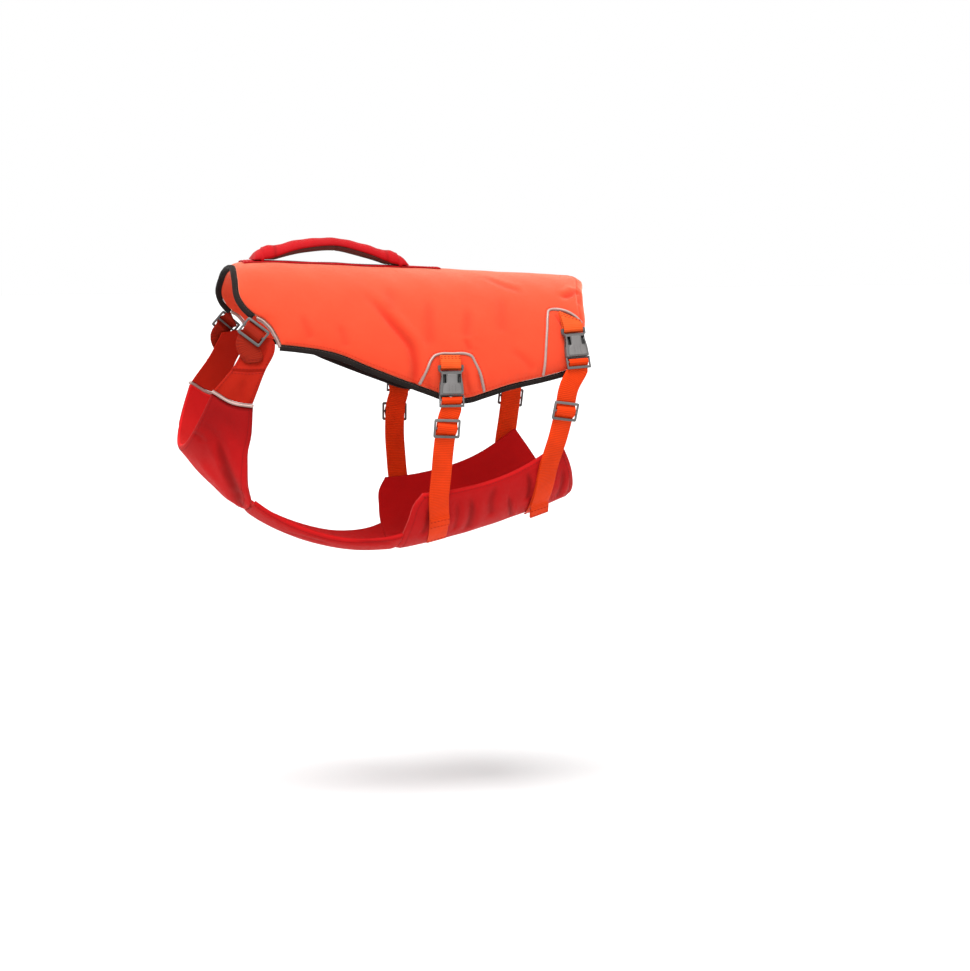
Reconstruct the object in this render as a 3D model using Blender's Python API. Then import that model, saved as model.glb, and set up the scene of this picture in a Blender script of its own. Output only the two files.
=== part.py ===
"""A dog's life jacket in the shape it has when it is worn, in Blender 4.5.

Metres, +Z up. The wearer faces -Y and its left side is +X. The origin is on the wearer's back, under
the middle of the saddle. Every cloth piece is laid on one smooth body form: a place on it is a key,
which is the Y of its ring where it crosses the spine, and a distance round that ring from the spine,
positive on the left side. What lies on the cloth is made from the same places, moved out.
"""

import math
from functools import lru_cache, partial

import bmesh
import bpy
import numpy as np
from mathutils import Matrix, Vector

MM = 0.001
GAP = 0.3 * MM  # between neighbouring pieces

# ---------------------------------------------------------------- the body that the jacket is cut for

# ring: key (Y at the spine), Z at the spine, Y and Z at the underside, half width,
# how far down its widest point lies, as a share of its depth
BODY = [
    (-0.200, 0.0095, -0.2480, -0.1480, 0.056, 0.50),  # throat
    (-0.180, 0.0085, -0.2350, -0.1640, 0.063, 0.50),  # neck
    (-0.145, 0.0070, -0.2060, -0.1970, 0.075, 0.50),  # collar
    (-0.105, 0.0052, -0.1530, -0.2380, 0.085, 0.49),  # shoulder
    (-0.060, 0.0030, -0.0880, -0.2630, 0.091, 0.48),  # elbow
    (-0.015, 0.0008, -0.0280, -0.2670, 0.094, 0.48),  # chest
    (0.040, -0.0021, 0.0330, -0.2560, 0.095, 0.48),  # girth
    (0.100, -0.0055, 0.0960, -0.2385, 0.091, 0.48),  # ribs
    (0.175, -0.0105, 0.1700, -0.2130, 0.084, 0.48),  # loin
]
ROUND_TOP = 2.25  # exponent of the ring's curve above its widest point
ROUND_LOW = 2.1  # and below it
RING_SAMPLES = 241
NORMAL_STEP = 3 * MM

# ---------------------------------------------------------------- saddle

SADDLE_THICK = 9.5 * MM
SADDLE_EDGE_THICK = 4.5 * MM
SADDLE_ROLL = 25 * MM  # width over which the padding rolls down to the edge
# lower edge: key, distance round from the spine
SADDLE_LOWER_EDGE = [
    (-0.133, 0.1125),
    (-0.118, 0.1150),
    (-0.085, 0.1232),
    (-0.060, 0.1350),
    (-0.032, 0.1470),
    (-0.005, 0.1575),
    (0.015, 0.1645),
    (0.032, 0.1650),
    (0.047, 0.1600),
    (0.072, 0.1509),
    (0.108, 0.1405),
    (0.127, 0.1343),
    (0.138, 0.1300),
]
# neck edge and rear hem: share of the way from the spine to the lower edge, key
SADDLE_NECK_EDGE = [
    (0.00, -0.1840),
    (0.32, -0.1830),
    (0.55, -0.1765),
    (0.64, -0.1690),
    (0.72, -0.1592),
    (0.76, -0.1525),
    (0.80, -0.1478),
    (0.84, -0.1437),
    (0.90, -0.1392),
    (0.95, -0.1358),
    (1.00, -0.1330),
]
SADDLE_REAR_HEM = [
    (0.00, 0.1670),
    (0.20, 0.1660),
    (0.32, 0.1615),
    (0.45, 0.1580),
    (0.67, 0.1545),
    (0.83, 0.1490),
    (0.93, 0.1445),
    (1.00, 0.1380),
]
# shares at which the saddle's rows of points lie, from the spine to the lower edge
SADDLE_ROWS = [0, 0.1, 0.2, 0.32, 0.44, 0.55, 0.64, 0.72, 0.76, 0.80, 0.84, 0.90, 0.95, 1]
NECK_BINDING_END = 0.705
FRONT_PIPING_START = 0.725
BINDING_WIDTH = 5.5 * MM
BINDING_HIGH = 4.7 * MM
BINDING_BEVEL = 1.0 * MM

# ---------------------------------------------------------------- bib, strip and belly panel

PAD_THICK = 5.0 * MM
PAD_EDGE_THICK = 2.5 * MM
PAD_ROLL = 8 * MM
# piping at the bib's top corner: key, distance up from the underside
BIB_TOP = [(-0.1795, 0.0938), (-0.1589, 0.1064), (-0.1418, 0.1227)]
# bib's neck edge and armhole edge: share of the way from the underside to its top, key
BIB_NECK_EDGE = [(0.0, -0.1835), (0.6, -0.1815), (1.0, -0.1795)]
BIB_ARMHOLE = [
    (0.00, -0.1190),
    (0.26, -0.1205),
    (0.40, -0.1264),
    (0.56, -0.1315),
    (0.67, -0.1349),
    (0.81, -0.1366),
    (1.00, -0.1418),
]
# share of the strip's length, its half width
STRIP_HALF_WIDTH = [(0.0, 0.036), (0.3, 0.035), (0.7, 0.038), (0.9, 0.044), (1.0, 0.050)]
BELLY_FRONT_EDGE = [(0.0, -0.0120), (0.7, -0.0120), (0.9, -0.0095), (1.0, -0.0040)]
BELLY_REAR_EDGE = [(0.0, 0.1570), (0.4, 0.1550), (0.75, 0.1430), (1.0, 0.1300)]
BELLY_SIDE_EDGE = [(0.0, 0.1035), (0.3, 0.1000), (0.7, 0.1020), (1.0, 0.1140)]
SEAM_HALF = 2.0 * MM  # from a seam's piping to the cloth on each side of it

# ---------------------------------------------------------------- neck tabs

TAB_UNDER = 0.8 * MM
TAB_THICK = 2.2 * MM
# share of the way up the tab, key of its front edge, key of its rear edge
TAB_ROWS = [
    (0.0, -0.1785, -0.1430),
    (0.5, -0.1675, -0.1405),
    (0.8, -0.1642, -0.1372),
    (0.9, -0.1632, -0.1384),
    (1.0, -0.1625, -0.1428),
]
TAB_TOP = (0.1050, 0.1040)  # distance round of its top, at the front and at the rear

# ---------------------------------------------------------------- webbing and its hardware

WEB_WIDTH = 20 * MM
WEB_THICK = 1.3 * MM
# heights of webbing middles over a strap's guide, where it meets a bar
WEB_UNDER = 0.95 * MM
WEB_MIDDLE = 2.65 * MM
WEB_OVER = 6.65 * MM

PLATE_UNDER = 3.6 * MM  # underside of the plates with bars, over a strap's guide
PLATE_THICK = 2.0 * MM
GLIDE_HALF_WIDTH = 13.1 * MM
GLIDE_HALF_LENGTH = 9.4 * MM
GLIDE_HALF_WINDOW = 11.1 * MM
GLIDE_END_BAR = 2.6 * MM
GLIDE_HALF_BAR = 1.0 * MM

# side-release buckle, measured down the strap from the top of its socket
BUCKLE_LENGTH = 40.9 * MM
SOCKET_OUTLINE = [  # half width, distance down
    (12.7 * MM, 0.0),
    (12.5 * MM, 5.2 * MM),
    (9.9 * MM, 7.6 * MM),
    (9.9 * MM, 11.4 * MM),
    (11.5 * MM, 20.0 * MM),
    (11.9 * MM, 28.8 * MM),
]
SOCKET_UNDER = 0.6 * MM
SOCKET_THICK = 7.0 * MM
SOCKET_BAR = (1.8 * MM, 4.0 * MM)  # bar's underside and top
SOCKET_SLOT = (10.5 * MM, 2.4 * MM, 5.8 * MM)  # half width, start, end
SOCKET_POCKET = (9.2 * MM, 9.0 * MM, 3.2 * MM, 6.0 * MM)  # half width, start, underside, top
SOCKET_WINDOW = (11.0 * MM, 19.0 * MM)  # side windows for the prongs' buttons
PLUG_START = 29.2 * MM
PLUG_HALF_WIDTH = 12.4 * MM
PLUG_HALF_WINDOW = 11.0 * MM
PLUG_WINDOWS = ((30.6 * MM, 32.9 * MM), (34.5 * MM, 38.5 * MM))
PRONG_OUTLINE = [  # the plug's prong on one side: half width, distance down
    (8.9 * MM, 29.2 * MM),
    (8.7 * MM, 20.0 * MM),
    (8.9 * MM, 18.4 * MM),
    (10.7 * MM, 17.6 * MM),
    (10.7 * MM, 13.4 * MM),
    (8.8 * MM, 11.6 * MM),
    (6.8 * MM, 11.6 * MM),
    (6.0 * MM, 29.2 * MM),
    (1.6 * MM, 29.2 * MM),
    (1.6 * MM, 14.0 * MM),
]
LOOP_TURN = (1.7 * MM, 2.9 * MM, 2.15 * MM)  # centre down the strap, height, radius
LOOP_ENDS = (0.9 * MM, 2.6 * MM, 0.85 * MM)  # distance down, heights of the upper and the lower end
PLUG_TURN = (33.6 * MM, 4.6 * MM, 2.05 * MM)
# down the strap: its run under the plug, its tail over the plug and below it
PLUG_WEB = (38.6 * MM, 34.8 * MM, 38.1 * MM)

# A strap's guide: key, distance round from the spine, height over the body. The first row is where its
# loop is sewn to the saddle, the second and third are the ends of its buckle.
STRAPS = {
    "mid": {
        "rows": [
            (0.0123, 0.1262, 10.2 * MM),
            (0.0124, 0.1353, 11.3 * MM),
            (0.0136, 0.1758, 10.5 * MM),
            (0.0109, 0.1850, 9.8 * MM),
            (0.0097, 0.1955, 8.9 * MM),
            (0.0087, 0.2150, 7.2 * MM),
            (0.0090, 0.2370, 5.6 * MM),
            (0.0100, 0.2654, 5.1 * MM),
            (0.0140, 0.2897, 5.1 * MM),
            (0.0175, 0.3120, 5.1 * MM),
            (0.0200, 0.3320, 5.1 * MM),
        ],
        "glide": 61.5 * MM,  # its middle, down from the top of the buckle
        "glide_turn": 4.0,  # degrees off square to the strap
        "tail_end": 0.2985,  # distance round
        "tail_lift": 0.0,
        "loop_skew": 0.0,  # slope of its sewn end, as distance up for each distance towards the head
        "pocket": [  # piping round the loop: key, distance round
            (-0.0152, 0.1529),
            (-0.0095, 0.1400),
            (-0.0048, 0.1300),
            (-0.0015, 0.1264),
            (0.0035, 0.1248),
            (0.0160, 0.1245),
            (0.0290, 0.1246),
            (0.0335, 0.1262),
            (0.0375, 0.1330),
            (0.0414, 0.1412),
            (0.0440, 0.1500),
            (0.0466, 0.1595),
        ],
    },
    "rear": {
        "rows": [
            (0.1364, 0.0820, 10.2 * MM),
            (0.1372, 0.0945, 11.3 * MM),
            (0.1410, 0.1312, 10.8 * MM),
            (0.1320, 0.1480, 9.0 * MM),
            (0.1280, 0.1733, 6.4 * MM),
            (0.1240, 0.1950, 5.4 * MM),
            (0.1168, 0.2312, 5.1 * MM),
            (0.1166, 0.2564, 5.1 * MM),
            (0.1168, 0.2801, 5.1 * MM),
            (0.1190, 0.3050, 5.1 * MM),
        ],
        "glide": 84.0 * MM,
        "glide_turn": 0.0,
        "tail_end": 0.2900,
        "tail_lift": 5.0 * MM,
        "loop_skew": 0.56,
        "pocket": [
            (0.1062, 0.1402),
            (0.1080, 0.1250),
            (0.1099, 0.1108),
            (0.1125, 0.0950),
            (0.1146, 0.0835),
            (0.1172, 0.0768),
            (0.1219, 0.0753),
            (0.1305, 0.0761),
            (0.1387, 0.0793),
            (0.1445, 0.0835),
            (0.1485, 0.0882),
        ],
    },
}
BAR_ROWS = (2.3 * MM, 6.0 * MM)  # from a glide's bar to where webbing is over and under its plate
HEM_LENGTH = 11 * MM  # of the fold at a strap's free end
HEM_RISE = 1.65 * MM  # from one layer of the fold to the other
PATH_STEP = 8 * MM  # longest run between two rings of a swept strap
GUIDE_STEP = 1 * MM

# neck webbing's guide, in the same columns, and its slider
NECK_ROWS = [
    (-0.1545, 0.0914, 2.3 * MM),
    (-0.1587, 0.0993, 2.3 * MM),
    (-0.1626, 0.1078, 2.1 * MM),
    (-0.1598, 0.1140, 1.8 * MM),
    (-0.1545, 0.1215, 1.6 * MM),
    (-0.1520, 0.1290, 1.4 * MM),
]
NECK_SLIDER = 9.5 * MM  # its middle, down from the webbing's start
NECK_SKEW = 0.40  # slope of the webbing's sewn end, along the saddle's corner

PIPING_HALF_WIDTH = 1.6 * MM
PIPING_HEIGHT = 1.2 * MM  # of the piping that lies on the saddle
PIPING_STEP = 4 * MM
# piping in a seam: heights of its underside, its shoulder and its top, and the shoulder's width
SEAM_UNDER = 1.2 * MM
SEAM_SHOULDER = 4.5 * MM
SEAM_TOP = 5.5 * MM
SEAM_BEVEL = 0.8 * MM

# ---------------------------------------------------------------- handle

HANDLE_APEX = -0.0876  # Y of its highest point
TAPE_ENDS = (-0.1760, 0.0225)  # Y
TAPE_HALF_WIDTH = 12.5 * MM
TAPE_THICK = 1.2 * MM
# distance from the apex along Y; heights over the saddle of the lining's underside and top, and the grip's top
HANDLE_ARCH = [
    (0.0, 13.0 * MM, 18.2 * MM, 25.7 * MM),
    (26.0 * MM, 10.0 * MM, 15.0 * MM, 23.5 * MM),
    (41.0 * MM, 6.4 * MM, 10.9 * MM, 20.1 * MM),
    (50.0 * MM, 3.8 * MM, 7.5 * MM, 17.2 * MM),
    (56.0 * MM, 2.0 * MM, 5.2 * MM, 16.1 * MM),
    (62.0 * MM, 1.8 * MM, 3.4 * MM, 16.0 * MM),
    (67.0 * MM, 1.8 * MM, 2.6 * MM, 14.0 * MM),
]
# the grip's end, which sits on the base tape: distance, heights of underside and top
HANDLE_FOOT = [
    (67.9 * MM, 1.8 * MM, 13.5 * MM),
    (72.0 * MM, 1.8 * MM, 10.8 * MM),
    (75.5 * MM, 1.8 * MM, 7.8 * MM),
    (78.0 * MM, 1.8 * MM, 3.6 * MM),
]
GRIP_HALF_WIDTH = 14 * MM
LINING_HALF_WIDTH = 12.5 * MM
DOME_SIDES = 8
DOME_ROUND = 0.7  # under 1 for a fuller round than half a circle
HANDLE_RINGS = 19

# material: base colour, roughness
COLOURS = {
    "orange cloth": ((1.0, 0.10, 0.03, 1), 0.75),
    "orange webbing": ((0.95, 0.09, 0.012, 1), 0.7),
    "red cloth": ((0.55, 0.014, 0.018, 1), 0.75),
    "tab cloth": ((0.60, 0.024, 0.012, 1), 0.75),
    "dark tape": ((0.045, 0.040, 0.040, 1), 0.8),
    "reflective piping": ((0.36, 0.33, 0.31, 1), 0.45),
    "grey plastic": ((0.20, 0.20, 0.21, 1), 0.45),
    "handle red": ((0.62, 0.012, 0.020, 1), 0.75),
}


# ---------------------------------------------------------------- places on the body


def smooth(rows, at):
    """The other columns of a table at this value of its first one, on a smooth curve through its rows."""
    rows = np.asarray(rows, float)
    keys, values = rows[:, 0], rows[:, 1:]
    at = min(max(at, keys[0]), keys[-1])
    i = min(max(int(np.searchsorted(keys, at, side="right")) - 1, 0), len(keys) - 2)
    slopes = np.gradient(values, keys, axis=0)
    step = keys[i + 1] - keys[i]
    u = (at - keys[i]) / step
    return (
        (2 * u**3 - 3 * u**2 + 1) * values[i]
        + (u**3 - 2 * u**2 + u) * step * slopes[i]
        + (3 * u**2 - 2 * u**3) * values[i + 1]
        + (u**3 - u**2) * step * slopes[i + 1]
    )


def straight(rows, at):
    """The second column of a table at this value of its first one, by straight lines."""
    return float(np.interp(at, *np.array(rows).T))


@lru_cache(maxsize=None)
def ring(key):
    """Points of the ring with this key down the left side, and their distances from the spine."""
    top_z, low_y, low_z, half_width, widest = smooth(BODY, key)
    turn = np.linspace(0, math.pi, RING_SAMPLES)
    up = np.cos(turn)
    power = np.where(up >= 0, 2 / ROUND_TOP, 2 / ROUND_LOW)
    rise = np.abs(up) ** power
    depth = np.where(up >= 0, widest * (1 - rise), widest + (1 - widest) * rise)
    points = np.stack(
        [half_width * np.sin(turn) ** power, key + (low_y - key) * depth, top_z + (low_z - top_z) * depth],
        axis=1,
    )
    steps = np.linalg.norm(np.diff(points, axis=0), axis=1)
    return points, np.concatenate([[0], np.cumsum(steps)])


def half_girth(key):
    return ring(round(key, 6))[1][-1]


def surface(key, along):
    """The point of the body at this key and distance round from the spine."""
    points, lengths = ring(round(key, 6))
    along = (along + lengths[-1]) % (2 * lengths[-1]) - lengths[-1]
    point = Vector(np.interp(abs(along), lengths, points[:, axis]) for axis in range(3))
    point.x = math.copysign(point.x, along)
    return point


def outward(key, along):
    step = NORMAL_STEP
    round_ring = surface(key, along + step) - surface(key, along - step)
    to_rear = surface(key + step, along) - surface(key - step, along)
    return round_ring.cross(to_rear).normalized()


def on_body(key, along, out=0.0):
    return surface(key, along) + outward(key, along) * out


def mix(a, b, share):
    return a + (b - a) * share


def spaced(shares, steps):
    """Numbers from 0 to 1: these shares at both ends, and even steps between them."""
    inner = np.linspace(shares[-1], 1 - shares[-1], steps + 1)[1:-1]
    return [*shares, *inner, *(1 - share for share in reversed(shares))]


def both_ways(shares):
    return [-share for share in reversed(shares) if share] + list(shares)


def rolled(thick, edge_thick, roll, distance):
    """Padding's thickness this far from its nearest edge: a quarter round down to the edge."""
    inside = 1 - min(max(distance / roll, 0), 1)
    return edge_thick + (thick - edge_thick) * math.sqrt(1 - inside * inside)


# ---------------------------------------------------------------- panels: (u, v) to key and distance


SADDLE_COLUMNS = spaced([0, 0.02, 0.05], 15)
BIB_COLUMNS = spaced([0, 0.06], 5)


def saddle_place(u, v):
    """u runs from the neck edge to the rear hem, v from the right lower edge (-1) to the left one (1)."""
    share = abs(v)
    key = mix(straight(SADDLE_NECK_EDGE, share), straight(SADDLE_REAR_HEM, share), u)
    end = mix(SADDLE_LOWER_EDGE[0][0], SADDLE_LOWER_EDGE[-1][0], u)
    return key, v * straight(SADDLE_LOWER_EDGE, end)


def saddle_outer(u, v):
    front = straight(SADDLE_NECK_EDGE, abs(v))
    length = straight(SADDLE_REAR_HEM, abs(v)) - front
    depth = abs(saddle_place(u, 1)[1])
    distance = min(u * length, (1 - u) * length, (1 - abs(v)) * depth)
    return rolled(SADDLE_THICK, SADDLE_EDGE_THICK, SADDLE_ROLL, distance)


def saddle_height(key, along):
    """The saddle's thickness at a place on the body."""
    u = v = 0.5
    for _ in range(6):
        end = mix(SADDLE_LOWER_EDGE[0][0], SADDLE_LOWER_EDGE[-1][0], u)
        v = min(abs(along) / straight(SADDLE_LOWER_EDGE, end), 1)
        front = straight(SADDLE_NECK_EDGE, v)
        u = min(max((key - front) / (straight(SADDLE_REAR_HEM, v) - front), 0), 1)
    return saddle_outer(u, v)


def bib_place(u, v):
    """u runs from the neck edge to the armhole, v from the right top edge (-1) to the left one (1)."""
    share = abs(v)
    key = mix(straight(BIB_NECK_EDGE, share), straight(BIB_ARMHOLE, share), u)
    top = straight(BIB_TOP, mix(BIB_TOP[0][0], BIB_TOP[-1][0], u)) - SEAM_HALF
    return key, half_girth(key) - v * top


def belly_place(u, v):
    share = abs(v)
    key = mix(straight(BELLY_FRONT_EDGE, share), straight(BELLY_REAR_EDGE, share), u)
    return key, half_girth(key) - v * straight(BELLY_SIDE_EDGE, u)


def strip_place(u, v):
    key = mix(BIB_ARMHOLE[0][1] + GAP, BELLY_FRONT_EDGE[0][1] - GAP, u)
    return key, half_girth(key) - v * straight(STRIP_HALF_WIDTH, u)


def pad_outer(place, u, v):
    """A padded panel's thickness, from its distance to its nearest edge."""
    here = surface(*place(u, v))
    edges = (place(0, v), place(1, v), place(u, 1), place(u, -1))
    distance = min((surface(*edge) - here).length for edge in edges)
    return rolled(PAD_THICK, PAD_EDGE_THICK, PAD_ROLL, distance)


def tab_place(side, u, v):
    """u runs from the tab's front edge to its rear one, v from the bib's piping up to its top."""
    front, rear = smooth(TAB_ROWS, v)
    seam_key = mix(TAB_ROWS[0][1], TAB_ROWS[0][2], u)
    seam = half_girth(seam_key) - straight(BIB_TOP, seam_key) - SEAM_HALF
    return mix(front, rear, u), side * mix(seam, mix(*TAB_TOP, u), v)


# ---------------------------------------------------------------- building meshes


def clear_scene():
    for obj in list(bpy.data.objects):
        bpy.data.objects.remove(obj)


def make_collection(name):
    found = bpy.data.collections.new(name)
    bpy.context.scene.collection.children.link(found)
    return found


def make_material(name):
    colour, roughness = COLOURS[name]
    found = bpy.data.materials.new(name)
    found.use_nodes = True
    shader = found.node_tree.nodes["Principled BSDF"]
    shader.inputs["Base Color"].default_value = colour
    shader.inputs["Roughness"].default_value = roughness
    return found


def add_object(name, mesh, material, smooth_over=35):
    mesh.materials.clear()
    mesh.materials.append(bpy.data.materials[material])
    mesh.shade_smooth()
    mesh.set_sharp_from_angle(angle=math.radians(smooth_over))
    obj = bpy.data.objects.new(name, mesh)
    bpy.data.collections["Dog life jacket"].objects.link(obj)
    return obj


def mesh_of(name, points, faces):
    """A closed mesh from points and faces, its normals out."""
    mesh = bpy.data.meshes.new(name)
    mesh.from_pydata([tuple(point) for point in points], [], faces)
    work = bmesh.new()
    work.from_mesh(mesh)
    bmesh.ops.recalc_face_normals(work, faces=work.faces)
    work.to_mesh(mesh)
    work.free()
    return mesh


def wall_mesh(name, outer, inner):
    """A closed wall between two grids of points of the same size."""
    rows, columns = len(outer), len(outer[0])
    points = [point for row in outer for point in row] + [point for row in inner for point in row]
    under = rows * columns
    faces = []
    for i in range(rows - 1):
        for j in range(columns - 1):
            quad = [i * columns + j, i * columns + j + 1, (i + 1) * columns + j + 1, (i + 1) * columns + j]
            faces.append(quad)
            faces.append([under + corner for corner in reversed(quad)])
    rim = [i * columns for i in range(rows)]
    rim += [(rows - 1) * columns + j for j in range(1, columns)]
    rim += [i * columns + columns - 1 for i in range(rows - 2, -1, -1)]
    rim += list(range(columns - 2, 0, -1))
    for start, end in zip(rim, rim[1:] + rim[:1]):
        faces.append([start, end, under + end, under + start])
    return mesh_of(name, points, faces)


def sweep_mesh(name, rings):
    """A closed tube through rings of the same number of points."""
    sides = len(rings[0])
    points = [point for one in rings for point in one]
    faces = [list(range(sides)), [len(points) - sides + k for k in range(sides)]]
    for i in range(len(rings) - 1):
        for k in range(sides):
            start, end = i * sides + k, i * sides + (k + 1) % sides
            faces.append([start, end, end + sides, start + sides])
    return mesh_of(name, points, faces)


def add_panel(name, material, place, shares, outer, inner=0.0):
    """A cloth wall on the body: place(u, v) says where, outer(u, v) how far out its face is."""
    across, down = shares
    outside = [[on_body(*place(u, v), outer(u, v)) for v in down] for u in across]
    inside = [[on_body(*place(u, v), inner) for v in down] for u in across]
    add_object(name, wall_mesh(name, outside, inside), material)


def path_frames(points, normals):
    """For each point of a path: the point, the direction to its side and the direction out."""
    frames = []
    for i, point in enumerate(points):
        ahead = points[min(i + 1, len(points) - 1)] - points[max(i - 1, 0)]
        side = ahead.cross(normals[i]).normalized()
        frames.append((point, side, normals[i]))
    return frames


def add_edging(name, material, frames, section):
    """A strip swept along frames: section rows are distance to the side and distance out."""
    rings = [[point + side * x + out * z for x, z in section] for point, side, out in frames]
    add_object(name, sweep_mesh(name, rings), material)


def body_path(places, height):
    """Points and normals along places (key, distance) on the body, at height(key, distance)."""
    points = [on_body(key, along, height(key, along)) for key, along in places]
    return points, [outward(key, along) for key, along in places]


def through_places(rows, step):
    """Places on a smooth curve through rows of key and distance, a step apart."""
    lengths = np.concatenate([[0], np.cumsum(np.linalg.norm(np.diff(rows, axis=0), axis=1))])
    table = np.column_stack([lengths, rows])
    count = max(round(lengths[-1] / step), 2)
    return [tuple(smooth(table, at)) for at in np.linspace(0, lengths[-1], count + 1)]


# ---------------------------------------------------------------- webbing


class Guide:
    """The line that a strap's webbing and hardware are measured from, over the body.

    Its rows are key, distance round and height. Between two of them it may be straight, for a buckle.
    """

    def __init__(self, rows, side, buckle=None):
        self.side = side
        rows = [(key, side * along, height) for key, along, height in rows]
        runs = [rows]
        if buckle is not None:
            runs = [rows[: buckle + 1], rows[buckle : buckle + 2], rows[buckle + 1 :]]
        self.points, self.normals, self.alongs = [], [], []
        for number, run in enumerate(runs):
            places = [run[0]] if len(run) == 1 else self.sampled(run, number == 1)
            self.take(places, run, number == 1)
        steps = [(b - a).length for a, b in zip(self.points, self.points[1:])]
        self.lengths = np.concatenate([[0], np.cumsum(steps)])
        if buckle is not None:
            self.buckle = self.lengths[self.buckle_index]

    @staticmethod
    def sampled(run, is_buckle):
        rows = np.array(run)
        steps = np.linalg.norm(np.diff(rows[:, :2], axis=0), axis=1)
        lengths = np.concatenate([[0], np.cumsum(steps)])
        count = max(round(lengths[-1] / GUIDE_STEP), 2)
        if is_buckle:
            return [tuple(mix(rows[0], rows[-1], share)) for share in np.linspace(0, 1, count + 1)]
        table = np.column_stack([lengths, rows])
        return [tuple(smooth(table, at)) for at in np.linspace(0, lengths[-1], count + 1)]

    def take(self, places, run, is_buckle):
        if is_buckle:
            self.buckle_index = len(self.points) - 1
            first, last = on_body(*run[0]), on_body(*run[-1])
            normal = outward(*mix(np.array(run[0]), np.array(run[-1]), 0.5)[:2])
        for number, (key, along, height) in enumerate(places):
            if self.points and number == 0:
                continue
            if is_buckle:
                self.points.append(first.lerp(last, number / (len(places) - 1)))
                self.normals.append(normal)
            else:
                self.points.append(on_body(key, along, height))
                self.normals.append(outward(key, along))
            self.alongs.append(abs(along))

    def at_distance_round(self, along):
        """How far down the guide this distance round the body is."""
        return float(np.interp(along, self.alongs, self.lengths))

    def frame(self, down):
        """The guide's point this far down it, and the directions across it, down it and out."""
        point, normal = (
            Vector(np.interp(down, self.lengths, column) for column in np.array(vectors).T)
            for vectors in (self.points, self.normals)
        )
        i = int(np.clip(np.searchsorted(self.lengths, down), 1, len(self.points) - 2))
        direction = (self.points[i + 1] - self.points[i - 1]).normalized()
        across = direction.cross(normal).normalized()
        return point, across, direction, across.cross(direction)

    def matrix(self, down):
        point, across, direction, out = self.frame(down)
        return Matrix.Translation(point) @ Matrix((across, direction, out)).transposed().to_4x4()


def half_turn(start, turn, way, steps=6):
    """Rows of distance and height round a bar, from under it to over it, bulging down (1) or up (-1)."""
    centre, height, radius = turn
    angles = np.linspace(-math.pi / 2, math.pi / 2, steps + 1)
    return [
        (start + centre + way * radius * math.cos(angle), height + radius * math.sin(angle))
        for angle in angles
    ]


RING_CORNERS = ((-1, -1), (1, -1), (1, 1), (-1, 1))


def add_webbing(name, guide, rows):
    """Webbing through rows of distance down the guide, height of its middle over it and slope across."""
    path = [rows[0]]
    for row in rows[1:]:
        steps = max(math.ceil(abs(row[0] - path[-1][0]) / PATH_STEP), 1)
        last = np.array(path[-1])
        path += [tuple(mix(last, np.array(row), (k + 1) / steps)) for k in range(steps)]
    points, acrosses = [], []
    for down, height, skew in path:
        point, across, direction, out = guide.frame(down)
        points.append(point + out * height)
        acrosses.append((across, across - direction * skew * guide.side))
    rings = []
    last = len(points) - 1
    for i, (point, (across, sloped)) in enumerate(zip(points, acrosses)):
        before = (point - points[i - 1]).normalized() if i else None
        after = (points[i + 1] - point).normalized() if i < last else None
        ahead = ((before or after) + (after or before)).normalized()
        face = across.cross(ahead).normalized()
        mitre = 1 / max((before or after).dot(ahead), 0.8)
        half_width, half_thick = sloped * (WEB_WIDTH / 2), face * (mitre * WEB_THICK / 2)
        rings.append([point + half_width * x + half_thick * z for x, z in RING_CORNERS])
    add_object(name, sweep_mesh(name, rings), "orange webbing")


def level(rows):
    """Rows of distance and height, with no slope across."""
    return [(*row, 0.0) for row in rows]


def loop_rows(buckle, skew):
    """The loop that holds a socket: down over its bar, round it and back up beneath."""
    turn = half_turn(buckle, LOOP_TURN, 1)[::-1]
    start, over, under = LOOP_ENDS
    straight_down = level([(buckle - 2 * MM, turn[0][1]), *turn])
    return [(start, over, skew), *straight_down, (start, under, skew)]


def over_bar(centre):
    """Rows of distance and height that go up through a glide, over its bar and down again."""
    near, far = BAR_ROWS
    return [
        (centre - far, WEB_MIDDLE),
        (centre - near, WEB_OVER),
        (centre + near, WEB_OVER),
        (centre + far, WEB_MIDDLE),
    ]


def strap_rows(strap, guide):
    """A strap from its sewn end up to the plug's bar, round it and down as the tail through the glide."""
    top, glide = guide.buckle, guide.buckle + strap["glide"]
    end = guide.at_distance_round(strap["tail_end"])
    lift = strap["tail_lift"]
    under_plug, over_plug, below_plug = PLUG_WEB
    fold = WEB_MIDDLE + HEM_RISE
    rows = [
        (guide.lengths[-1], WEB_UNDER),
        (top + under_plug, WEB_UNDER),
        *half_turn(top, PLUG_TURN, -1),
        (top + over_plug, WEB_OVER),
        (top + below_plug, WEB_MIDDLE),
        *over_bar(glide),
        (end - HEM_LENGTH - 4 * MM, WEB_MIDDLE + 0.1 * lift),
        (end - HEM_LENGTH, fold + 0.3 * lift),
        (end, fold + lift),
        (end + 0.8 * MM, fold - 0.8 * MM + lift),
        (end, fold - HEM_RISE + lift),
        (end - HEM_LENGTH + 2 * MM, WEB_MIDDLE + 0.35 * lift),
    ]
    return level(rows)


# ---------------------------------------------------------------- plastic hardware


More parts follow.
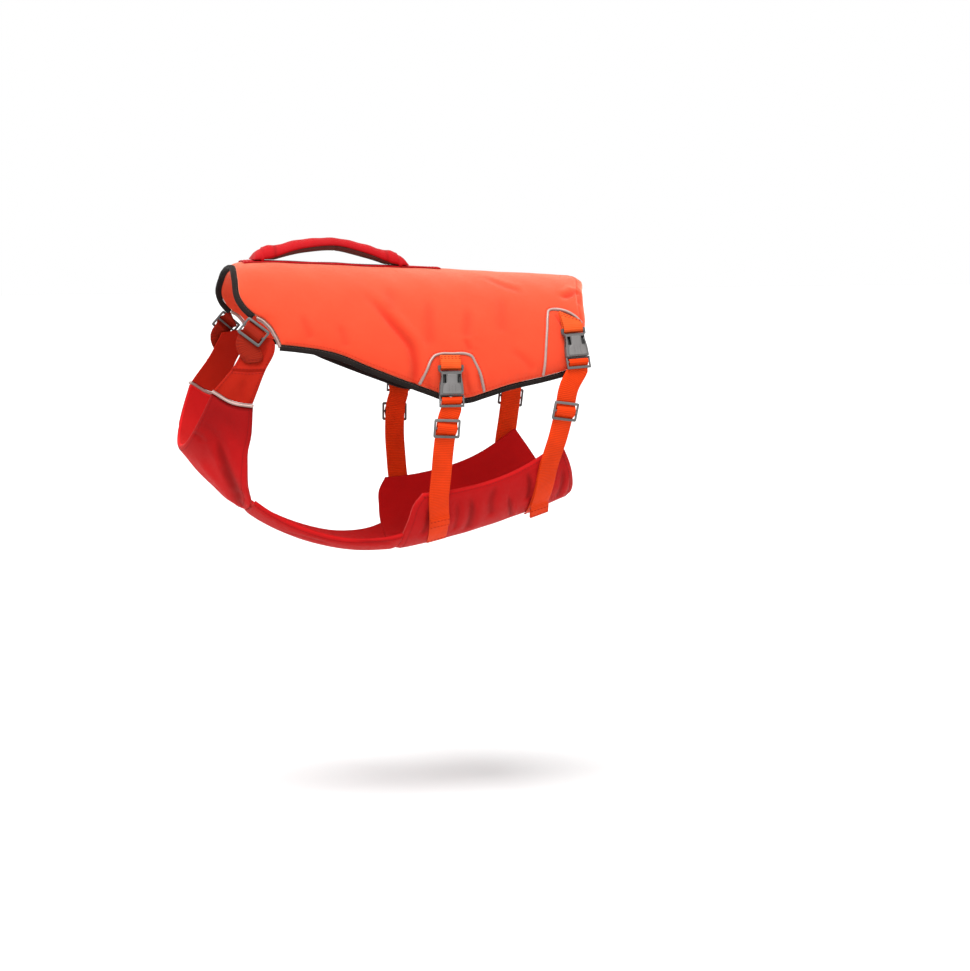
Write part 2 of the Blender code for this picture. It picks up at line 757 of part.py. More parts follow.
def outline_mesh(name, outlines, under, thick):
    """A flat plate: a 2D curve with holes, extruded, and made a mesh with its caps welded."""
    curve = bpy.data.curves.new(name, "CURVE")
    curve.dimensions = "2D"
    curve.fill_mode = "BOTH"
    curve.extrude = thick / 2
    for outline in outlines:
        spline = curve.splines.new("POLY")
        spline.points.add(len(outline) - 1)
        for point, (x, y) in zip(spline.points, outline):
            point.co = (x, y, 0, 1)
        spline.use_cyclic_u = True
    obj = bpy.data.objects.new(name, curve)
    bpy.context.scene.collection.objects.link(obj)
    graph = bpy.context.evaluated_depsgraph_get()
    mesh = bpy.data.meshes.new_from_object(obj.evaluated_get(graph))
    bpy.data.objects.remove(obj)
    work = bmesh.new()
    work.from_mesh(mesh)
    bmesh.ops.remove_doubles(work, verts=work.verts, dist=0.01 * MM)
    bmesh.ops.translate(work, verts=work.verts, vec=(0, 0, under + thick / 2))
    bmesh.ops.recalc_face_normals(work, faces=work.faces)
    work.to_mesh(mesh)
    work.free()
    mesh.name = name
    return mesh


def mirrored_outline(half):
    """A closed outline from its right half, given from one end to the other."""
    return list(half) + [(-x, y) for x, y in reversed(half)]


def rectangle(half_width, start, end):
    return [(-half_width, start), (half_width, start), (half_width, end), (-half_width, end)]


def glide_mesh():
    windows = [
        rectangle(GLIDE_HALF_WINDOW, GLIDE_HALF_BAR, GLIDE_HALF_LENGTH - GLIDE_END_BAR),
        rectangle(GLIDE_HALF_WINDOW, GLIDE_END_BAR - GLIDE_HALF_LENGTH, -GLIDE_HALF_BAR),
    ]
    outer = rectangle(GLIDE_HALF_WIDTH, -GLIDE_HALF_LENGTH, GLIDE_HALF_LENGTH)
    return outline_mesh("glide", [outer, *windows], PLATE_UNDER, PLATE_THICK)


def plug_mesh():
    half = [
        (PRONG_OUTLINE[-1][0], PRONG_OUTLINE[-1][1]),
        *reversed(PRONG_OUTLINE[:-1]),
        (PLUG_HALF_WIDTH, PLUG_START),
        (PLUG_HALF_WIDTH, BUCKLE_LENGTH),
    ]
    windows = [rectangle(PLUG_HALF_WINDOW, start, end) for start, end in PLUG_WINDOWS]
    return outline_mesh("plug", [mirrored_outline(half), *windows], PLATE_UNDER, PLATE_THICK)


def add_cutter(name, size, centre):
    """A box that cuts the socket. It stays in the file, out of the render."""
    bpy.ops.mesh.primitive_cube_add(size=1, location=centre)
    cutter = bpy.context.object
    cutter.name = name
    cutter.data.transform(Matrix.Diagonal((*size, 1)))
    cutter.hide_render = True
    cutter.display_type = "WIRE"
    cutter.users_collection[0].objects.unlink(cutter)
    bpy.data.collections["Cutters"].objects.link(cutter)
    return cutter


def socket_mesh():
    """The socket's block with its slot, less the space over its bar, its pocket and its side windows."""
    half_slot, slot_start, slot_end = SOCKET_SLOT
    half_pocket, pocket_start, pocket_under, pocket_top = SOCKET_POCKET
    bar_under, bar_top = SOCKET_BAR
    length = SOCKET_OUTLINE[-1][1]
    outlines = [mirrored_outline(SOCKET_OUTLINE), rectangle(half_slot, slot_start, slot_end)]
    mesh = outline_mesh("socket", outlines, SOCKET_UNDER, SOCKET_THICK)
    block = bpy.data.objects.new("socket block", mesh)
    bpy.data.collections["Cutters"].objects.link(block)
    block.hide_render = True
    wide = 40 * MM
    window = SOCKET_WINDOW[1] - SOCKET_WINDOW[0]
    pocket_height = pocket_top - pocket_under
    reach = 2 * (slot_end - 0.5 * MM)
    cuts = {
        "over the bar": ((wide, reach, wide), (0, 0, bar_top + wide / 2)),
        "under the bar": ((wide, reach, wide), (0, 0, bar_under - wide / 2)),
        "pocket": (
            (2 * half_pocket, 2 * (length - pocket_start), pocket_height),
            (0, length, pocket_under + pocket_height / 2),
        ),
        "side windows": (
            (wide, window, pocket_height - 0.4 * MM),
            (0, SOCKET_WINDOW[0] + window / 2, pocket_under + pocket_height / 2),
        ),
    }
    for name, (size, centre) in cuts.items():
        modifier = block.modifiers.new(name, "BOOLEAN")
        modifier.object = add_cutter(f"cutter {name}", size, centre)
        modifier.operation = "DIFFERENCE"
        modifier.solver = "MANIFOLD"  # EXACT leaves nothing of this thin block
    graph = bpy.context.evaluated_depsgraph_get()
    mesh = bpy.data.meshes.new_from_object(block.evaluated_get(graph))
    mesh.name = "socket"
    return mesh


def add_hardware(name, mesh, matrix):
    obj = add_object(name, mesh, "grey plastic", smooth_over=20)
    obj.matrix_world = matrix


# ---------------------------------------------------------------- the jacket's pieces


def add_saddle():
    shares = (SADDLE_COLUMNS, both_ways(SADDLE_ROWS))
    add_panel("saddle", "orange cloth", saddle_place, shares, saddle_outer)


def add_lower_panels():
    pads = {
        "chest_panel": (bib_place, BIB_COLUMNS, [0, 0.14, 0.28, 0.42, 0.56, 0.7, 0.84, 0.95, 1]),
        "sternum_strip": (strip_place, np.linspace(0, 1, 8), [0, 0.4, 0.8, 1]),
        "belly_panel": (belly_place, spaced([0, 0.03], 9), [0, 0.14, 0.28, 0.42, 0.56, 0.7, 0.84, 0.95, 1]),
    }
    for name, (place, across, down) in pads.items():
        add_panel(name, "red cloth", place, (across, both_ways(down)), partial(pad_outer, place))


def saddle_edge_frames(places, away):
    """Frames along places on the saddle's edge, their side direction turned to this side (1 or -1)."""
    points, normals = body_path(places, lambda key, along: 0.0)
    return [(point, side * away, out) for point, side, out in path_frames(points, normals)]


def add_bindings():
    """Dark tape over the saddle's edge, on both lower edges and round the neck."""
    width, high, bevel = GAP + BINDING_WIDTH, BINDING_HIGH, BINDING_BEVEL
    section = [
        (GAP, 0),
        (width - bevel, 0),
        (width, bevel),
        (width, high - bevel),
        (width - bevel, high),
        (GAP, high),
    ]
    for side, name in ((1, "left"), (-1, "right")):
        places = [saddle_place(u, side) for u in SADDLE_COLUMNS]
        add_edging(f"binding_{name}", "dark tape", saddle_edge_frames(places, side), section)
    shares = [share for share in SADDLE_ROWS if share < NECK_BINDING_END] + [NECK_BINDING_END]
    frames = saddle_edge_frames([saddle_place(0, v) for v in both_ways(shares)], 1)
    add_edging("binding_neck", "dark tape", frames, section)


def add_piping(side, name):
    """Reflective piping: the front corner's, the bib's, and those round the two strap loops."""
    shares = [FRONT_PIPING_START] + [share for share in SADDLE_ROWS if share > FRONT_PIPING_START]
    frames = saddle_edge_frames([saddle_place(0, side * v) for v in shares], side)
    half, wide = PIPING_HALF_WIDTH, 2 * PIPING_HALF_WIDTH + GAP
    section = [
        (GAP, SEAM_UNDER),
        (wide, SEAM_UNDER),
        (wide, SEAM_SHOULDER),
        (wide - SEAM_BEVEL, SEAM_TOP),
        (GAP, SEAM_TOP),
    ]
    add_edging(f"piping_front_{name}", "reflective piping", frames, section)

    keys = [mix(BIB_TOP[0][0], BIB_TOP[-1][0], u) for u in BIB_COLUMNS]
    places = [(key, side * (half_girth(key) - straight(BIB_TOP, key))) for key in keys]
    points, normals = body_path(places, lambda key, along: 0.0)
    section = [
        (-half, SEAM_UNDER),
        (half, SEAM_UNDER),
        (half, SEAM_SHOULDER),
        (half - SEAM_BEVEL, SEAM_TOP),
        (SEAM_BEVEL - half, SEAM_TOP),
        (-half, SEAM_SHOULDER),
    ]
    add_edging(f"piping_chest_{name}", "reflective piping", path_frames(points, normals), section)

    top = GAP + PIPING_HEIGHT
    section = [(-half, GAP), (half, GAP), (half - SEAM_BEVEL, top), (SEAM_BEVEL - half, top)]
    for place, strap in STRAPS.items():
        rows = [(key, side * along) for key, along in strap["pocket"]]
        points, normals = body_path(through_places(rows, PIPING_STEP), saddle_height)
        add_edging(f"piping_{place}_{name}", "reflective piping", path_frames(points, normals), section)


def add_neck_fastening(side, name, glide):
    """The tab, the webbing from the saddle's front corner and the slider between them."""
    shares = (np.linspace(0, 1, 6), np.linspace(0, 1, 7))
    place = partial(tab_place, side)
    outer = TAB_UNDER + TAB_THICK
    add_panel(f"neck_tab_{name}", "tab cloth", place, shares, lambda u, v: outer, TAB_UNDER)
    guide = Guide(NECK_ROWS, side)
    rows = level([*over_bar(NECK_SLIDER), (guide.lengths[-1], WEB_MIDDLE)])
    add_webbing(f"neck_webbing_{name}", guide, [(0.0, WEB_MIDDLE, NECK_SKEW), *rows])
    add_hardware(f"neck_slider_{name}", glide, guide.matrix(NECK_SLIDER))


def add_belly_straps(side, name, meshes):
    for place, strap in STRAPS.items():
        guide = Guide(strap["rows"], side, buckle=1)
        add_webbing(f"loop_{place}_{name}", guide, loop_rows(guide.buckle, strap["loop_skew"]))
        add_webbing(f"strap_{place}_{name}", guide, strap_rows(strap, guide))
        middle = guide.buckle + BUCKLE_LENGTH / 2
        buckle = guide.matrix(middle) @ Matrix.Translation((0, -BUCKLE_LENGTH / 2, 0))
        add_hardware(f"socket_{place}_{name}", meshes["socket"], buckle)
        add_hardware(f"plug_{place}_{name}", meshes["plug"], buckle)
        turned = Matrix.Rotation(side * math.radians(strap["glide_turn"]), 4, "Z")
        glide = guide.matrix(guide.buckle + strap["glide"]) @ turned
        add_hardware(f"glide_{place}_{name}", meshes["glide"], glide)


def dome_ring(y, flat, top, half_width):
    """A ring across the handle: flat at one height over the saddle, round over to the other."""
    base = on_body(y, 0, saddle_height(y, 0)).z
    turns = np.linspace(0, math.pi, DOME_SIDES + 1)
    return [
        Vector((half_width * math.cos(turn), y, base + mix(flat, top, math.sin(turn) ** DOME_ROUND)))
        for turn in turns
    ]


def tape_place(u, v):
    return mix(*TAPE_ENDS, u), v * TAPE_HALF_WIDTH


def tape_under(u, v):
    return saddle_height(*tape_place(u, v)) + GAP


def add_handle_tape():
    """The flat tape along the spine that both ends of the handle are sewn to."""
    across, down = np.linspace(0, 1, 21), np.linspace(-1, 1, 5)
    inside = [[on_body(*tape_place(u, v), tape_under(u, v)) for v in down] for u in across]
    outside = [[on_body(*tape_place(u, v), tape_under(u, v) + TAPE_THICK) for v in down] for u in across]
    add_object("handle_tape", wall_mesh("handle_tape", outside, inside), "handle red")


def add_handle():
    """The dark lining and the red grip over it, which goes down to the tape at both ends."""
    arch = [(-row[0], *row[1:]) for row in reversed(HANDLE_ARCH[1:])] + HANDLE_ARCH
    lining, grip = [], []
    for from_apex in np.linspace(arch[0][0], arch[-1][0], HANDLE_RINGS):
        y = HANDLE_APEX + from_apex
        under, split, top = smooth(arch, from_apex)
        lining.append(dome_ring(y, split, under, LINING_HALF_WIDTH))
        grip.append(dome_ring(y, split + GAP, top, GRIP_HALF_WIDTH))
    reach, _, split, top = HANDLE_ARCH[-1]
    foot = [(reach + 2 * GAP, split + GAP, top), *HANDLE_FOOT]
    front, rear = (
        [dome_ring(HANDLE_APEX + end * reach, flat, top, GRIP_HALF_WIDTH) for reach, flat, top in foot]
        for end in (-1, 1)
    )
    add_object("handle_lining", sweep_mesh("handle_lining", lining), "dark tape")
    add_object("handle_grip", sweep_mesh("handle_grip", front[::-1] + grip + rear), "handle red")


def main():
    clear_scene()
    make_collection("Dog life jacket")
    make_collection("Cutters")
    for name in COLOURS:
        make_material(name)
    add_saddle()
    add_lower_panels()
    add_bindings()
    meshes = {"socket": socket_mesh(), "plug": plug_mesh(), "glide": glide_mesh()}
    for side, name in ((1, "left"), (-1, "right")):
        add_piping(side, name)
        add_neck_fastening(side, name, meshes["glide"])
        add_belly_straps(side, name, meshes)
    add_handle_tape()
    add_handle()


main()
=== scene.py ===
"""Cloth, webbing, trim and buckles for a dog's life jacket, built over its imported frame.

Metres, +Z up. The wearer faces -Y and its left side is +X. A place on the jacket is a key, which is the
Y of its ring where it crosses the spine, and a distance round that ring from the spine, positive on the
left side. Every piece is laid on the same body form as the frame's.
"""

import math
from contextlib import contextmanager

import bmesh
import bpy
import numpy as np
from bpy.props import FloatProperty, FloatVectorProperty, IntProperty, PointerProperty
from mathutils import Matrix, Vector


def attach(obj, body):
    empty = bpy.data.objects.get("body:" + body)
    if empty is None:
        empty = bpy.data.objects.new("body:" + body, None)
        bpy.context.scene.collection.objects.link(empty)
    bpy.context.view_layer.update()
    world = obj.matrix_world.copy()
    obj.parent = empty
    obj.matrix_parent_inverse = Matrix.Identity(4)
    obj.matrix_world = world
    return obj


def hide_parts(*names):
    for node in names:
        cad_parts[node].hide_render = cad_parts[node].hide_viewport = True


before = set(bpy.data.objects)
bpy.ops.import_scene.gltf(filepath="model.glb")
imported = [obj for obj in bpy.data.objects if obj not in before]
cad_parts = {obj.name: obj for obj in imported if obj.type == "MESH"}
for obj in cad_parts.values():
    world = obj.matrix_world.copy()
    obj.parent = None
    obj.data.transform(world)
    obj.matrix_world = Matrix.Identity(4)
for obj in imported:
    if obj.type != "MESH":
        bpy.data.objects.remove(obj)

bl_info = {
    "name": "Dog Life Jacket",
    "version": (1, 0, 0),
    "blender": (4, 5, 0),
    "location": "View3D > Sidebar > Life Jacket",
    "description": "Builds the cloth, webbing, trim and buckles of a dog's life jacket",
    "category": "Add Mesh",
}

MM = 0.001
GAP = 0.3 * MM  # between neighbouring pieces


def in_mm(*values):
    """Numbers of millimetres, or rows of them, in metres."""
    return tuple(in_mm(*value) if isinstance(value, tuple) else value * MM for value in values)


# ---------------------------------------------------------------- the body that the jacket is cut for

# ring: key, Z at the spine, Y and Z at the underside, half width,
# how far down its widest point lies, as a share of its depth
BODY = [
    (-0.200, 0.0095, -0.2480, -0.1480, 0.056, 0.50),  # throat
    (-0.180, 0.0085, -0.2350, -0.1640, 0.063, 0.50),  # neck
    (-0.145, 0.0070, -0.2060, -0.1970, 0.075, 0.50),  # collar
    (-0.105, 0.0052, -0.1530, -0.2380, 0.085, 0.49),  # shoulder
    (-0.060, 0.0030, -0.0880, -0.2630, 0.091, 0.48),  # elbow
    (-0.015, 0.0008, -0.0280, -0.2670, 0.094, 0.48),  # chest
    (0.040, -0.0021, 0.0330, -0.2560, 0.095, 0.48),  # girth
    (0.100, -0.0055, 0.0960, -0.2385, 0.091, 0.48),  # ribs
    (0.175, -0.0105, 0.1700, -0.2130, 0.084, 0.48),  # loin
]
ROUND_TOP = 2.25  # exponent of the ring's curve above its widest point
ROUND_LOW = 2.1  # and below it
RING_SAMPLES = 721
TABLE_STEP, NORMAL_STEP = in_mm(1, 3)
TABLE_SPARE = 8 * MM  # past the spine and past the underside

# ---------------------------------------------------------------- saddle

# thickness, the same at its edge, and the width over which the padding rolls down to the edge
SADDLE_PADDING = in_mm(9.5, 4.5, 25)
# lower edge: key, distance round from the spine
SADDLE_LOWER_EDGE = [
    (-0.133, 0.1125), (-0.118, 0.1150), (-0.085, 0.1232), (-0.060, 0.1350), (-0.032, 0.1470),
    (-0.005, 0.1575), (0.015, 0.1645), (0.032, 0.1650), (0.047, 0.1600), (0.072, 0.1509), (0.108, 0.1405),
    (0.127, 0.1343), (0.138, 0.1300),
]
# neck edge and rear hem: share of the way from the spine to the lower edge, key
SADDLE_NECK_EDGE = [
    (0.00, -0.1840), (0.32, -0.1830), (0.55, -0.1765), (0.64, -0.1690), (0.72, -0.1592), (0.76, -0.1525),
    (0.80, -0.1478), (0.84, -0.1437), (0.90, -0.1392), (0.95, -0.1358), (1.00, -0.1330),
]
SADDLE_REAR_HEM = [
    (0.00, 0.1670), (0.20, 0.1660), (0.32, 0.1615), (0.45, 0.1580), (0.67, 0.1545), (0.83, 0.1490),
    (0.93, 0.1445), (1.00, 0.1380),
]
NECK_BINDING_END = 0.705  # share at which the neck edge's binding ends
FRONT_PIPING_START = 0.725
BINDING_WIDTH, BINDING_HIGH = in_mm(5.5, 4.7)
SADDLE_CLOTH_SIZE = (0.345, 0.33)  # length and width, for how finely its cloth is divided
SADDLE_SPAN = (0.33, 0.14)  # about its length and its depth down each side
HEM_STITCHES = 7 * MM  # from the rear hem to its stitching
HEM_FULLNESS = 2.2  # the padding rolls down this many times faster at the rear hem

# ---------------------------------------------------------------- bib, strip and belly panel

PAD_PADDING = in_mm(5.0, 2.5, 8)  # as SADDLE_PADDING
# piping at the bib's top corner: key, distance up from the underside
BIB_TOP = [(-0.1795, 0.0938), (-0.1589, 0.1064), (-0.1418, 0.1227)]
# bib's neck edge and armhole edge: share of the way from the underside to its top, key
BIB_NECK_EDGE = [(0.0, -0.1835), (0.6, -0.1815), (1.0, -0.1795)]
BIB_ARMHOLE = [
    (0.00, -0.1190), (0.26, -0.1205), (0.40, -0.1264), (0.56, -0.1315), (0.67, -0.1349), (0.81, -0.1366),
    (1.00, -0.1418),
]
# share of the strip's length, its half width
STRIP_HALF_WIDTH = [(0.0, 0.036), (0.3, 0.035), (0.7, 0.038), (0.9, 0.044), (1.0, 0.050)]
BELLY_FRONT_EDGE = [(0.0, -0.0120), (0.7, -0.0120), (0.9, -0.0095), (1.0, -0.0040)]
BELLY_REAR_EDGE = [(0.0, 0.1570), (0.4, 0.1550), (0.75, 0.1430), (1.0, 0.1300)]
BELLY_SIDE_EDGE = [(0.0, 0.1035), (0.3, 0.1000), (0.7, 0.1020), (1.0, 0.1140)]
SEAM_HALF = 2.0 * MM  # from a seam's piping to the cloth on each side of it

# ---------------------------------------------------------------- neck tabs

TAB_UNDER = 0.8 * MM
TAB_PADDING = in_mm(2.2, 1.2, 2.5)
TAB_SPAN = 0.03  # about its width
TAB_SIZE = (0.034, 0.066)  # width and length
# share of the way up the tab, key of its front edge, key of its rear edge
TAB_ROWS = [
    (0.0, -0.1785, -0.1430), (0.5, -0.1675, -0.1405), (0.8, -0.1642, -0.1372), (0.9, -0.1632, -0.1384),
    (1.0, -0.1625, -0.1428),
]
TAB_TOP = (0.1050, 0.1040)  # distance round of its top, at the front and at the rear

# ---------------------------------------------------------------- webbing and its hardware

WEB_UNDER, WEB_MIDDLE, WEB_OVER = in_mm(0.95, 2.65, 6.65)
PLATE_UNDER, PLATE_THICK = in_mm(3.6, 2.0)  # plates with bars: underside over a strap's guide, thickness
GLIDE_HALF_WIDTH, GLIDE_HALF_LENGTH, GLIDE_HALF_WINDOW = in_mm(13.1, 9.4, 11.1)
GLIDE_END_BAR, GLIDE_HALF_BAR = in_mm(2.6, 1.0)

# side-release buckle, measured down the strap from the top of its socket
BUCKLE_LENGTH = 40.9 * MM
# half width, distance down
SOCKET_OUTLINE = in_mm(
    (12.7, 0.0), (12.6, 4.2), (12.0, 6.0), (10.2, 7.5), (9.8, 9.2), (9.95, 11.8), (10.8, 16.0),
    (11.5, 20.0), (11.8, 25.0), (11.9, 28.8),
)
SOCKET_UNDER, SOCKET_THICK = in_mm(0.6, 7.0)
SOCKET_BAR = in_mm(1.8, 4.0)  # bar's underside and top
SOCKET_SLOT = in_mm(10.5, 2.4, 5.8)  # half width, start, end
SOCKET_POCKET = in_mm(9.2, 9.0, 3.2, 6.0)  # half width, start, underside, top
SOCKET_WINDOW = in_mm(10.4, 19.0)  # side windows for the prongs' buttons
SOCKET_FACE_WINDOWS = in_mm(5.6, 9.0, 8.8, 17.2)  # from and to across, start, end
SOCKET_CROWN = in_mm(0.75, 10.5, 6.2)  # how far its face falls, at what distance across; from what height
CROWN_CUTS = np.arange(-11.25 * MM, 11.3 * MM, 1.5 * MM)  # across, where the face is cut so that it can bend
# raised middle of its face: half width, distance down
SOCKET_SHIELD = in_mm((3.6, 8.6), (4.6, 9.6), (4.9, 17.0), (8.6, 19.4), (9.6, 24.0), (9.7, 27.4))
PLUG_START, PLUG_HALF_WIDTH, PLUG_HALF_WINDOW = in_mm(29.2, 12.4, 11.0)
PLUG_WINDOWS = in_mm((30.6, 32.9), (34.5, 38.5))
# the plug's prong on one side: half width, distance down
PRONG_OUTLINE = in_mm(
    (8.9, 29.2), (8.7, 20.0), (8.9, 18.4), (10.7, 17.6), (10.7, 13.4), (8.8, 11.6), (6.8, 11.6),
    (6.0, 29.2), (1.6, 29.2), (1.6, 14.0),
)
LOOP_TURN = in_mm(1.7, 2.9, 2.15)  # centre down the strap, height, radius
LOOP_ENDS = in_mm(0.9, 2.6, 0.85)  # distance down, heights of the upper and the lower end
PLUG_TURN = in_mm(33.6, 4.6, 2.05)
PLUG_WEB = in_mm(38.6, 34.8, 38.1)  # down the strap: its run under the plug, its tail over it and below it
BAR_ROWS = in_mm(2.3, 6.0)  # from a glide's bar to where webbing is over and under its plate
HEM_LENGTH = 11 * MM  # of the fold at a strap's free end
HEM_RISE = 1.65 * MM  # from one layer of the fold to the other

WELD = 0.004 * MM  # points of a moulding that are nearer than this are one
SHARP_ANGLE = 38  # degrees between two faces of a moulding, over which their edge is sharp
# painted shade on the plastic where little light comes, from 0 to 1
WALL_SHADE, MOUTH_SHADE, SHIELD_SHADE, SLIDER_SHADE = 0.6, 0.9, 0.7, 0.62
SOCKET_SHADE = (0.5, 0.34)  # at its bar and on its face
PLUG_SHADE = (1.0, 0.5, 0.25)  # behind its first bar, on its last one and between them
GLIDE_SHADE = (0.5, 0.22)  # on its lower end bar and elsewhere

# A strap's guide: key, distance round from the spine, height over the body in mm. The first row is where
# its loop is sewn to the saddle, the second and third are the ends of its buckle.
STRAPS = {
    "mid": {
        "rows": [
            (0.0123, 0.1262, 10.2), (0.0124, 0.1353, 11.3), (0.0136, 0.1758, 10.5), (0.0109, 0.1850, 9.8),
            (0.0097, 0.1955, 8.9), (0.0087, 0.2150, 7.2), (0.0090, 0.2370, 5.6), (0.0100, 0.2654, 5.1),
            (0.0140, 0.2897, 5.1), (0.0175, 0.3120, 5.1), (0.0200, 0.3320, 5.1),
        ],
        "glide": 61.5 * MM,  # its middle, down from the top of the buckle
        "glide_turn": 4.0,  # degrees off square to the strap
        "tail_end": 0.2985,  # distance round
        "tail_lift": 0.0,
        "loop_skew": 0.0,  # slope of its sewn end, as distance up for each distance towards the head
        "pocket": [  # piping round the loop: key, distance round
            (-0.0152, 0.1529), (-0.0095, 0.1400), (-0.0048, 0.1300), (-0.0015, 0.1264), (0.0035, 0.1248),
            (0.0160, 0.1245), (0.0290, 0.1246), (0.0335, 0.1262), (0.0375, 0.1330), (0.0414, 0.1412),
            (0.0440, 0.1500), (0.0466, 0.1595),
        ],
    },
    "rear": {
        "rows": [
            (0.1364, 0.0820, 10.2), (0.1372, 0.0945, 11.3), (0.1410, 0.1312, 10.8), (0.1320, 0.1480, 9.0),
            (0.1280, 0.1733, 6.4), (0.1240, 0.1950, 5.4), (0.1168, 0.2312, 5.1), (0.1166, 0.2564, 5.1),
            (0.1168, 0.2801, 5.1), (0.1190, 0.3050, 5.1),
        ],
        "glide": 84.0 * MM,
        "glide_turn": 0.0,
        "tail_end": 0.2900,
        "tail_lift": 5.0 * MM,
        "loop_skew": 0.56,
        "pocket": [
            (0.1062, 0.1402), (0.1080, 0.1250), (0.1099, 0.1108), (0.1125, 0.0950), (0.1146, 0.0835),
            (0.1172, 0.0768), (0.1219, 0.0753), (0.1305, 0.0761), (0.1387, 0.0793), (0.1445, 0.0835),
            (0.1485, 0.0882),
        ],
    },
}
GUIDE_STEP = 1 * MM
TURN_STEPS = 12  # of webbing's half turn round a bar
WEB_SECTION_ENDS = 4  # faces round each edge of the webbing
# webbing gets a ring where it has run this far since the last one, or where it turns by more than this
PATH_REACH, PATH_TURN = 1.6 * MM, 0.03
PATH_STEP = 2 * MM  # between its rows before its corners are cut round

# neck webbing's guide, in the same columns, and its slider
NECK_ROWS = [
    (-0.1545, 0.0914, 2.3), (-0.1587, 0.0993, 2.3), (-0.1626, 0.1078, 2.1), (-0.1598, 0.1140, 1.8),
    (-0.1545, 0.1215, 1.6), (-0.1520, 0.1290, 1.4),
]
NECK_SLIDER = 9.5 * MM  # its middle, down from the webbing's start
NECK_END = 7 * MM  # over which its loose end is rounded
END_SHAPE = (0.42, 2.6)  # share of the width that a rounded end keeps, and how full its curve is
NECK_SKEW = 0.40  # slope of the webbing's sewn end, along the saddle's corner

PIPING_HALF_WIDTH, PIPING_HEIGHT = in_mm(1.6, 1.2)  # its height where it lies on the saddle
SEAM_UNDER, SEAM_TOP = in_mm(1.2, 5.5)  # heights of piping in a seam: its underside and its top
POCKET_STEP = 1.2 * MM  # from one point of the piping round a loop to the next
# key and distance over which the rear loop's piping climbs over its webbing; its rise and its least height
REAR_CLIMB = (0.116, 0.022, 1.8 * MM, 11.5 * MM)

# ---------------------------------------------------------------- handle

HANDLE_APEX = -0.0876  # Y of its highest point
TAPE_ENDS = (-0.1760, 0.0225)  # Y
TAPE_HALF_WIDTH, TAPE_THICK = in_mm(12.5, 1.2)
# distance from the apex along Y; heights over the saddle of the lining's underside and top and the grip's top
HANDLE_ARCH = in_mm(
    (0.0, 13.0, 18.2, 25.7), (26.0, 10.0, 15.0, 23.5), (41.0, 6.4, 10.9, 20.1), (50.0, 3.8, 7.5, 17.2),
    (56.0, 2.0, 5.2, 16.1), (62.0, 1.8, 3.4, 16.0), (67.0, 1.8, 2.6, 14.0),
)
# the grip's end, which sits on the base tape: distance, heights of underside and top
HANDLE_FOOT = in_mm((67.9, 1.8, 13.5), (72.0, 1.8, 10.8), (75.5, 1.8, 7.8), (78.0, 1.8, 3.6))
GRIP_HALF_WIDTH, LINING_HALF_WIDTH = in_mm(14, 12.5)
GRIP_SHADE_BAND = in_mm(56.5, 1.6)  # where the grip bends towards each foot, with a band of painted shade as in a crease, and how wide the band is
LINING_JOINT = in_mm(5.0, 0.8)  # where the lining's two ends meet, from the apex, and how wide the join is
DOME_SIDES = 28  # of a ring across it
DOME_ROUND = 0.7  # under 1 for a fuller round than half a circle

# ---------------------------------------------------------------- folds

# A fold: its places (key, distance round); half width and depth of its groove and height of its lip, in mm.
SADDLE_FOLDS = [
    ([(-0.0700, 0.0590), (-0.0567, 0.0728), (-0.0480, 0.0845), (-0.0393, 0.0970), (-0.0320, 0.1065),
      (-0.0234, 0.1190), (-0.0196, 0.1350), (-0.0192, 0.1520), (-0.0196, 0.1640)], 4.3, 3.2, 1.7),
    ([(-0.0010, 0.0640), (-0.0031, 0.0762), (-0.0050, 0.1000), (-0.0060, 0.1200)], 6.0, 0.9, 0.5),
    ([(0.0350, 0.0760), (0.0331, 0.0898), (0.0290, 0.1110)], 5.0, 0.9, 0.5),
    ([(-0.0390, 0.0520), (-0.0400, 0.0700), (-0.0420, 0.0860)], 6.0, 0.6, 0.3),
    ([(0.0700, 0.0600), (0.0690, 0.0800), (0.0655, 0.1050)], 6.0, 0.6, 0.3),
    ([(-0.1215, 0.0820), (-0.1160, 0.0960), (-0.1092, 0.1108)], 3.5, 0.8, 0.3),
    ([(0.0270, 0.1090), (0.0305, 0.1150), (0.0329, 0.1226)], 3.0, 1.1, 0.5),
    ([(0.0560, 0.0290), (0.0757, 0.0485), (0.0950, 0.0575)], 4.0, 0.8, 0.4),
    ([(0.1290, 0.0605), (0.1400, 0.0580), (0.1480, 0.0530), (0.1545, 0.0465)], 3.2, 2.0, 1.1),
    ([(0.1565, 0.0380), (0.1535, 0.0560), (0.1500, 0.0690)], 2.6, 1.1, 0.3),
    ([(0.1225, 0.0790), (0.1262, 0.0868), (0.1292, 0.0930)], 1.7, 1.2, 0.6),
    ([(0.0277, 0.1330), (0.0295, 0.1491), (0.0329, 0.1640)], 2.2, 1.2, 0.5),
    ([(0.0375, 0.1380), (0.0414, 0.1493), (0.0432, 0.1600)], 2.2, 1.0, 0.4),
    ([(-0.0090, 0.1450), (-0.0060, 0.1530), (-0.0050, 0.1600)], 2.4, 0.8, 0.3),
    ([(0.0700, 0.1180), (0.0850, 0.1260), (0.0980, 0.1370)], 4.0, 0.7, 0.3),
    ([(-0.0900, 0.0930), (-0.0840, 0.1050), (-0.0800, 0.1190)], 3.5, 0.7, 0.3),
]
